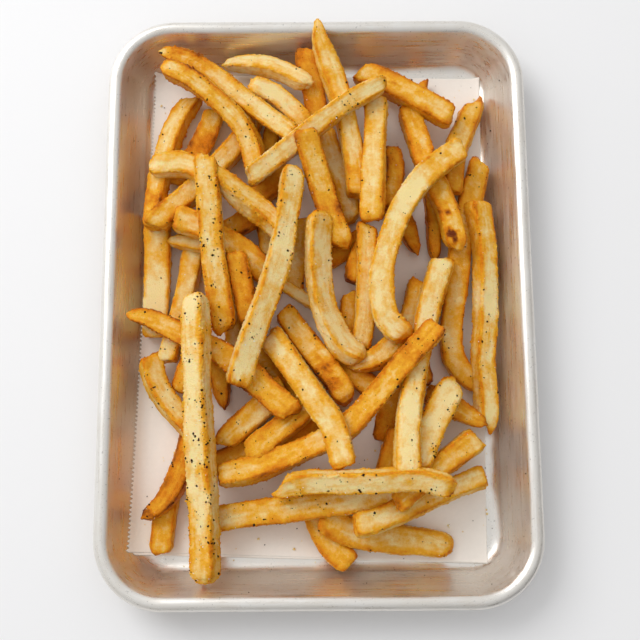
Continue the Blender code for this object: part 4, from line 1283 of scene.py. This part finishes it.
class TRAYFRIES_OT_seasoning(bpy.types.Operator):
    """Scatters pepper and salt on the fries, and pepper and crumbs on the paper and the tray"""
    bl_idname = "trayfries.seasoning"
    bl_label = "Pepper, salt and crumbs"

    def execute(self, context):
        settings = context.scene.trayfries_seasoning
        places, share, top = heap_surface()
        rng = np.random.default_rng(PEPPER_SEED)
        on_fries = scatter(places, share, settings.pepper, PEPPER_SEED, PEPPER_CLUMP)
        loose = bare_places(top, int(settings.pepper * LOOSE_SHARE), TRAY_HEIGHT, PEPPER_SEED)
        sizes = np.concatenate([grain_sizes(rng, len(on_fries), PEPPER_SIZES),
                                grain_sizes(rng, len(loose), LOOSE_SIZES)])
        specks("pepper", np.vstack([on_fries, loose]), sizes, PEPPER_SEED + 1, cracked_pepper())
        grains = scatter(places, share, settings.salt, SALT_SEED, SALT_CLUMP)
        specks("salt", grains + (0, 0, SALT_LIFT), grain_sizes(rng, len(grains), SALT_SIZES), SALT_SEED + 1,
               table_salt(), flat=SALT_FLATNESS)
        bits = bare_places(top, settings.crumbs, SHEET + CRUMB_RISE, CRUMB_SEED)
        crust = bpy.data.objects[LAYERS[0][0]].data.materials[0]
        specks("crumbs", bits, grain_sizes(rng, len(bits), CRUMB_SIZES), CRUMB_SEED + 1, crust)
        return {"FINISHED"}


class TRAYFRIES_OT_stage(bpy.types.Operator):
    """Sets up the table, the light and the camera"""
    bl_idname = "trayfries.stage"
    bl_label = "Table, light and camera"

    def execute(self, context):
        settings = context.scene.trayfries_stage
        mesh = bpy.data.meshes.new("table")
        flat = bmesh.new()
        bmesh.ops.create_grid(flat, x_segments=1, y_segments=1, size=TABLE_REACH)
        flat.to_mesh(mesh)
        flat.free()
        mesh.materials.append(painted_board(settings))
        table = bpy.data.objects.new("table", mesh)
        context.scene.collection.objects.link(table)
        self.lamp(context, settings)
        self.surroundings(context, settings)
        self.camera(context)
        return {"FINISHED"}

    def lamp(self, context, settings):
        """A big soft lamp far to the left."""
        lamp = bpy.data.lights.new("key", "AREA")
        lamp.shape = "SQUARE"
        lamp.size = settings.size
        lamp.energy = settings.key
        stand = bpy.data.objects.new("key", lamp)
        stand.location = KEY_PLACE
        stand.rotation_euler = (-Vector(KEY_PLACE)).to_track_quat("-Z", "Y").to_euler()
        context.scene.collection.objects.link(stand)

    def surroundings(self, context, settings):
        """A room that is brighter on the lamp's side."""
        world = bpy.data.worlds.new("studio")
        context.scene.world = world
        world.use_nodes = True
        tree = world.node_tree
        ray = add(tree, "ShaderNodeTexCoord", {}).outputs["Generated"]
        turned = add(tree, "ShaderNodeVectorMath", {0: ray, 1: Vector(BRIGHT_SIDE).normalized()},
                     operation="DOT_PRODUCT").outputs["Value"]
        share = add(tree, "ShaderNodeMapRange", {"Value": turned, "From Min": -1.0}).outputs["Result"]
        shade = add(tree, "ShaderNodeValToRGB", {"Fac": share},
                    stops=[(place, colour(value)) for place, value in SKY])
        fill(tree, tree.nodes["Background"], {"Color": shade.outputs["Color"], "Strength": settings.sky})
        context.scene.view_settings.view_transform = "Standard"

    def camera(self, context):
        """A camera where the photo was taken from, worked out from the tray's outline."""
        lens = bpy.data.cameras.new("camera")
        lens.sensor_width = SENSOR
        lens.lens = FOCAL_PIXELS / PHOTO_PIXELS * SENSOR
        lens.clip_start = CLIP_START
        stand = bpy.data.objects.new("camera", lens)
        stand.location = Vector(CAMERA_PLACE) * MM
        level = math.cos(CAMERA_PITCH)
        ahead = Vector((math.sin(CAMERA_TURN) * level, math.cos(CAMERA_TURN) * level,
                        -math.sin(CAMERA_PITCH)))
        stand.rotation_euler = ahead.to_track_quat("-Z", "Y").to_euler()
        context.scene.collection.objects.link(stand)
        context.scene.camera = stand


class TRAYFRIES_PT_panel(bpy.types.Panel):
    """Lists what can be built"""
    bl_idname = "TRAYFRIES_PT_panel"
    bl_label = "Fries on a tray"
    bl_space_type = "VIEW_3D"
    bl_region_type = "UI"
    bl_category = "Fries"

    def draw(self, context):
        for name, _, operator in BUILT:
            box = self.layout.box()
            settings = getattr(context.scene, name)
            for key in settings.__annotations__:
                box.prop(settings, key)
            box.operator(operator.bl_idname)


BUILT = (
    ("trayfries_tray", TraySettings, TRAYFRIES_OT_tray),
    ("trayfries_paper", PaperSettings, TRAYFRIES_OT_paper),
    ("trayfries_fries", FrySettings, TRAYFRIES_OT_fries),
    ("trayfries_seasoning", SeasoningSettings, TRAYFRIES_OT_seasoning),
    ("trayfries_stage", StageSettings, TRAYFRIES_OT_stage),
)


def register():
    """Registers the classes and hangs each settings group on the scene."""
    for name, group, operator in BUILT:
        bpy.utils.register_class(group)
        bpy.utils.register_class(operator)
        setattr(bpy.types.Scene, name, PointerProperty(type=group))
    bpy.utils.register_class(TRAYFRIES_PT_panel)


def unregister():
    """Takes the panel, the settings groups and the classes away again."""
    bpy.utils.unregister_class(TRAYFRIES_PT_panel)
    for name, group, operator in reversed(BUILT):
        delattr(bpy.types.Scene, name)
        bpy.utils.unregister_class(operator)
        bpy.utils.unregister_class(group)


def main():
    """Builds everything in order."""
    register()
    bpy.ops.trayfries.stage()
    bpy.ops.trayfries.tray()
    bpy.ops.trayfries.paper()
    bpy.ops.trayfries.fries()
    bpy.ops.trayfries.seasoning()


if __name__ == "__main__":
    main()
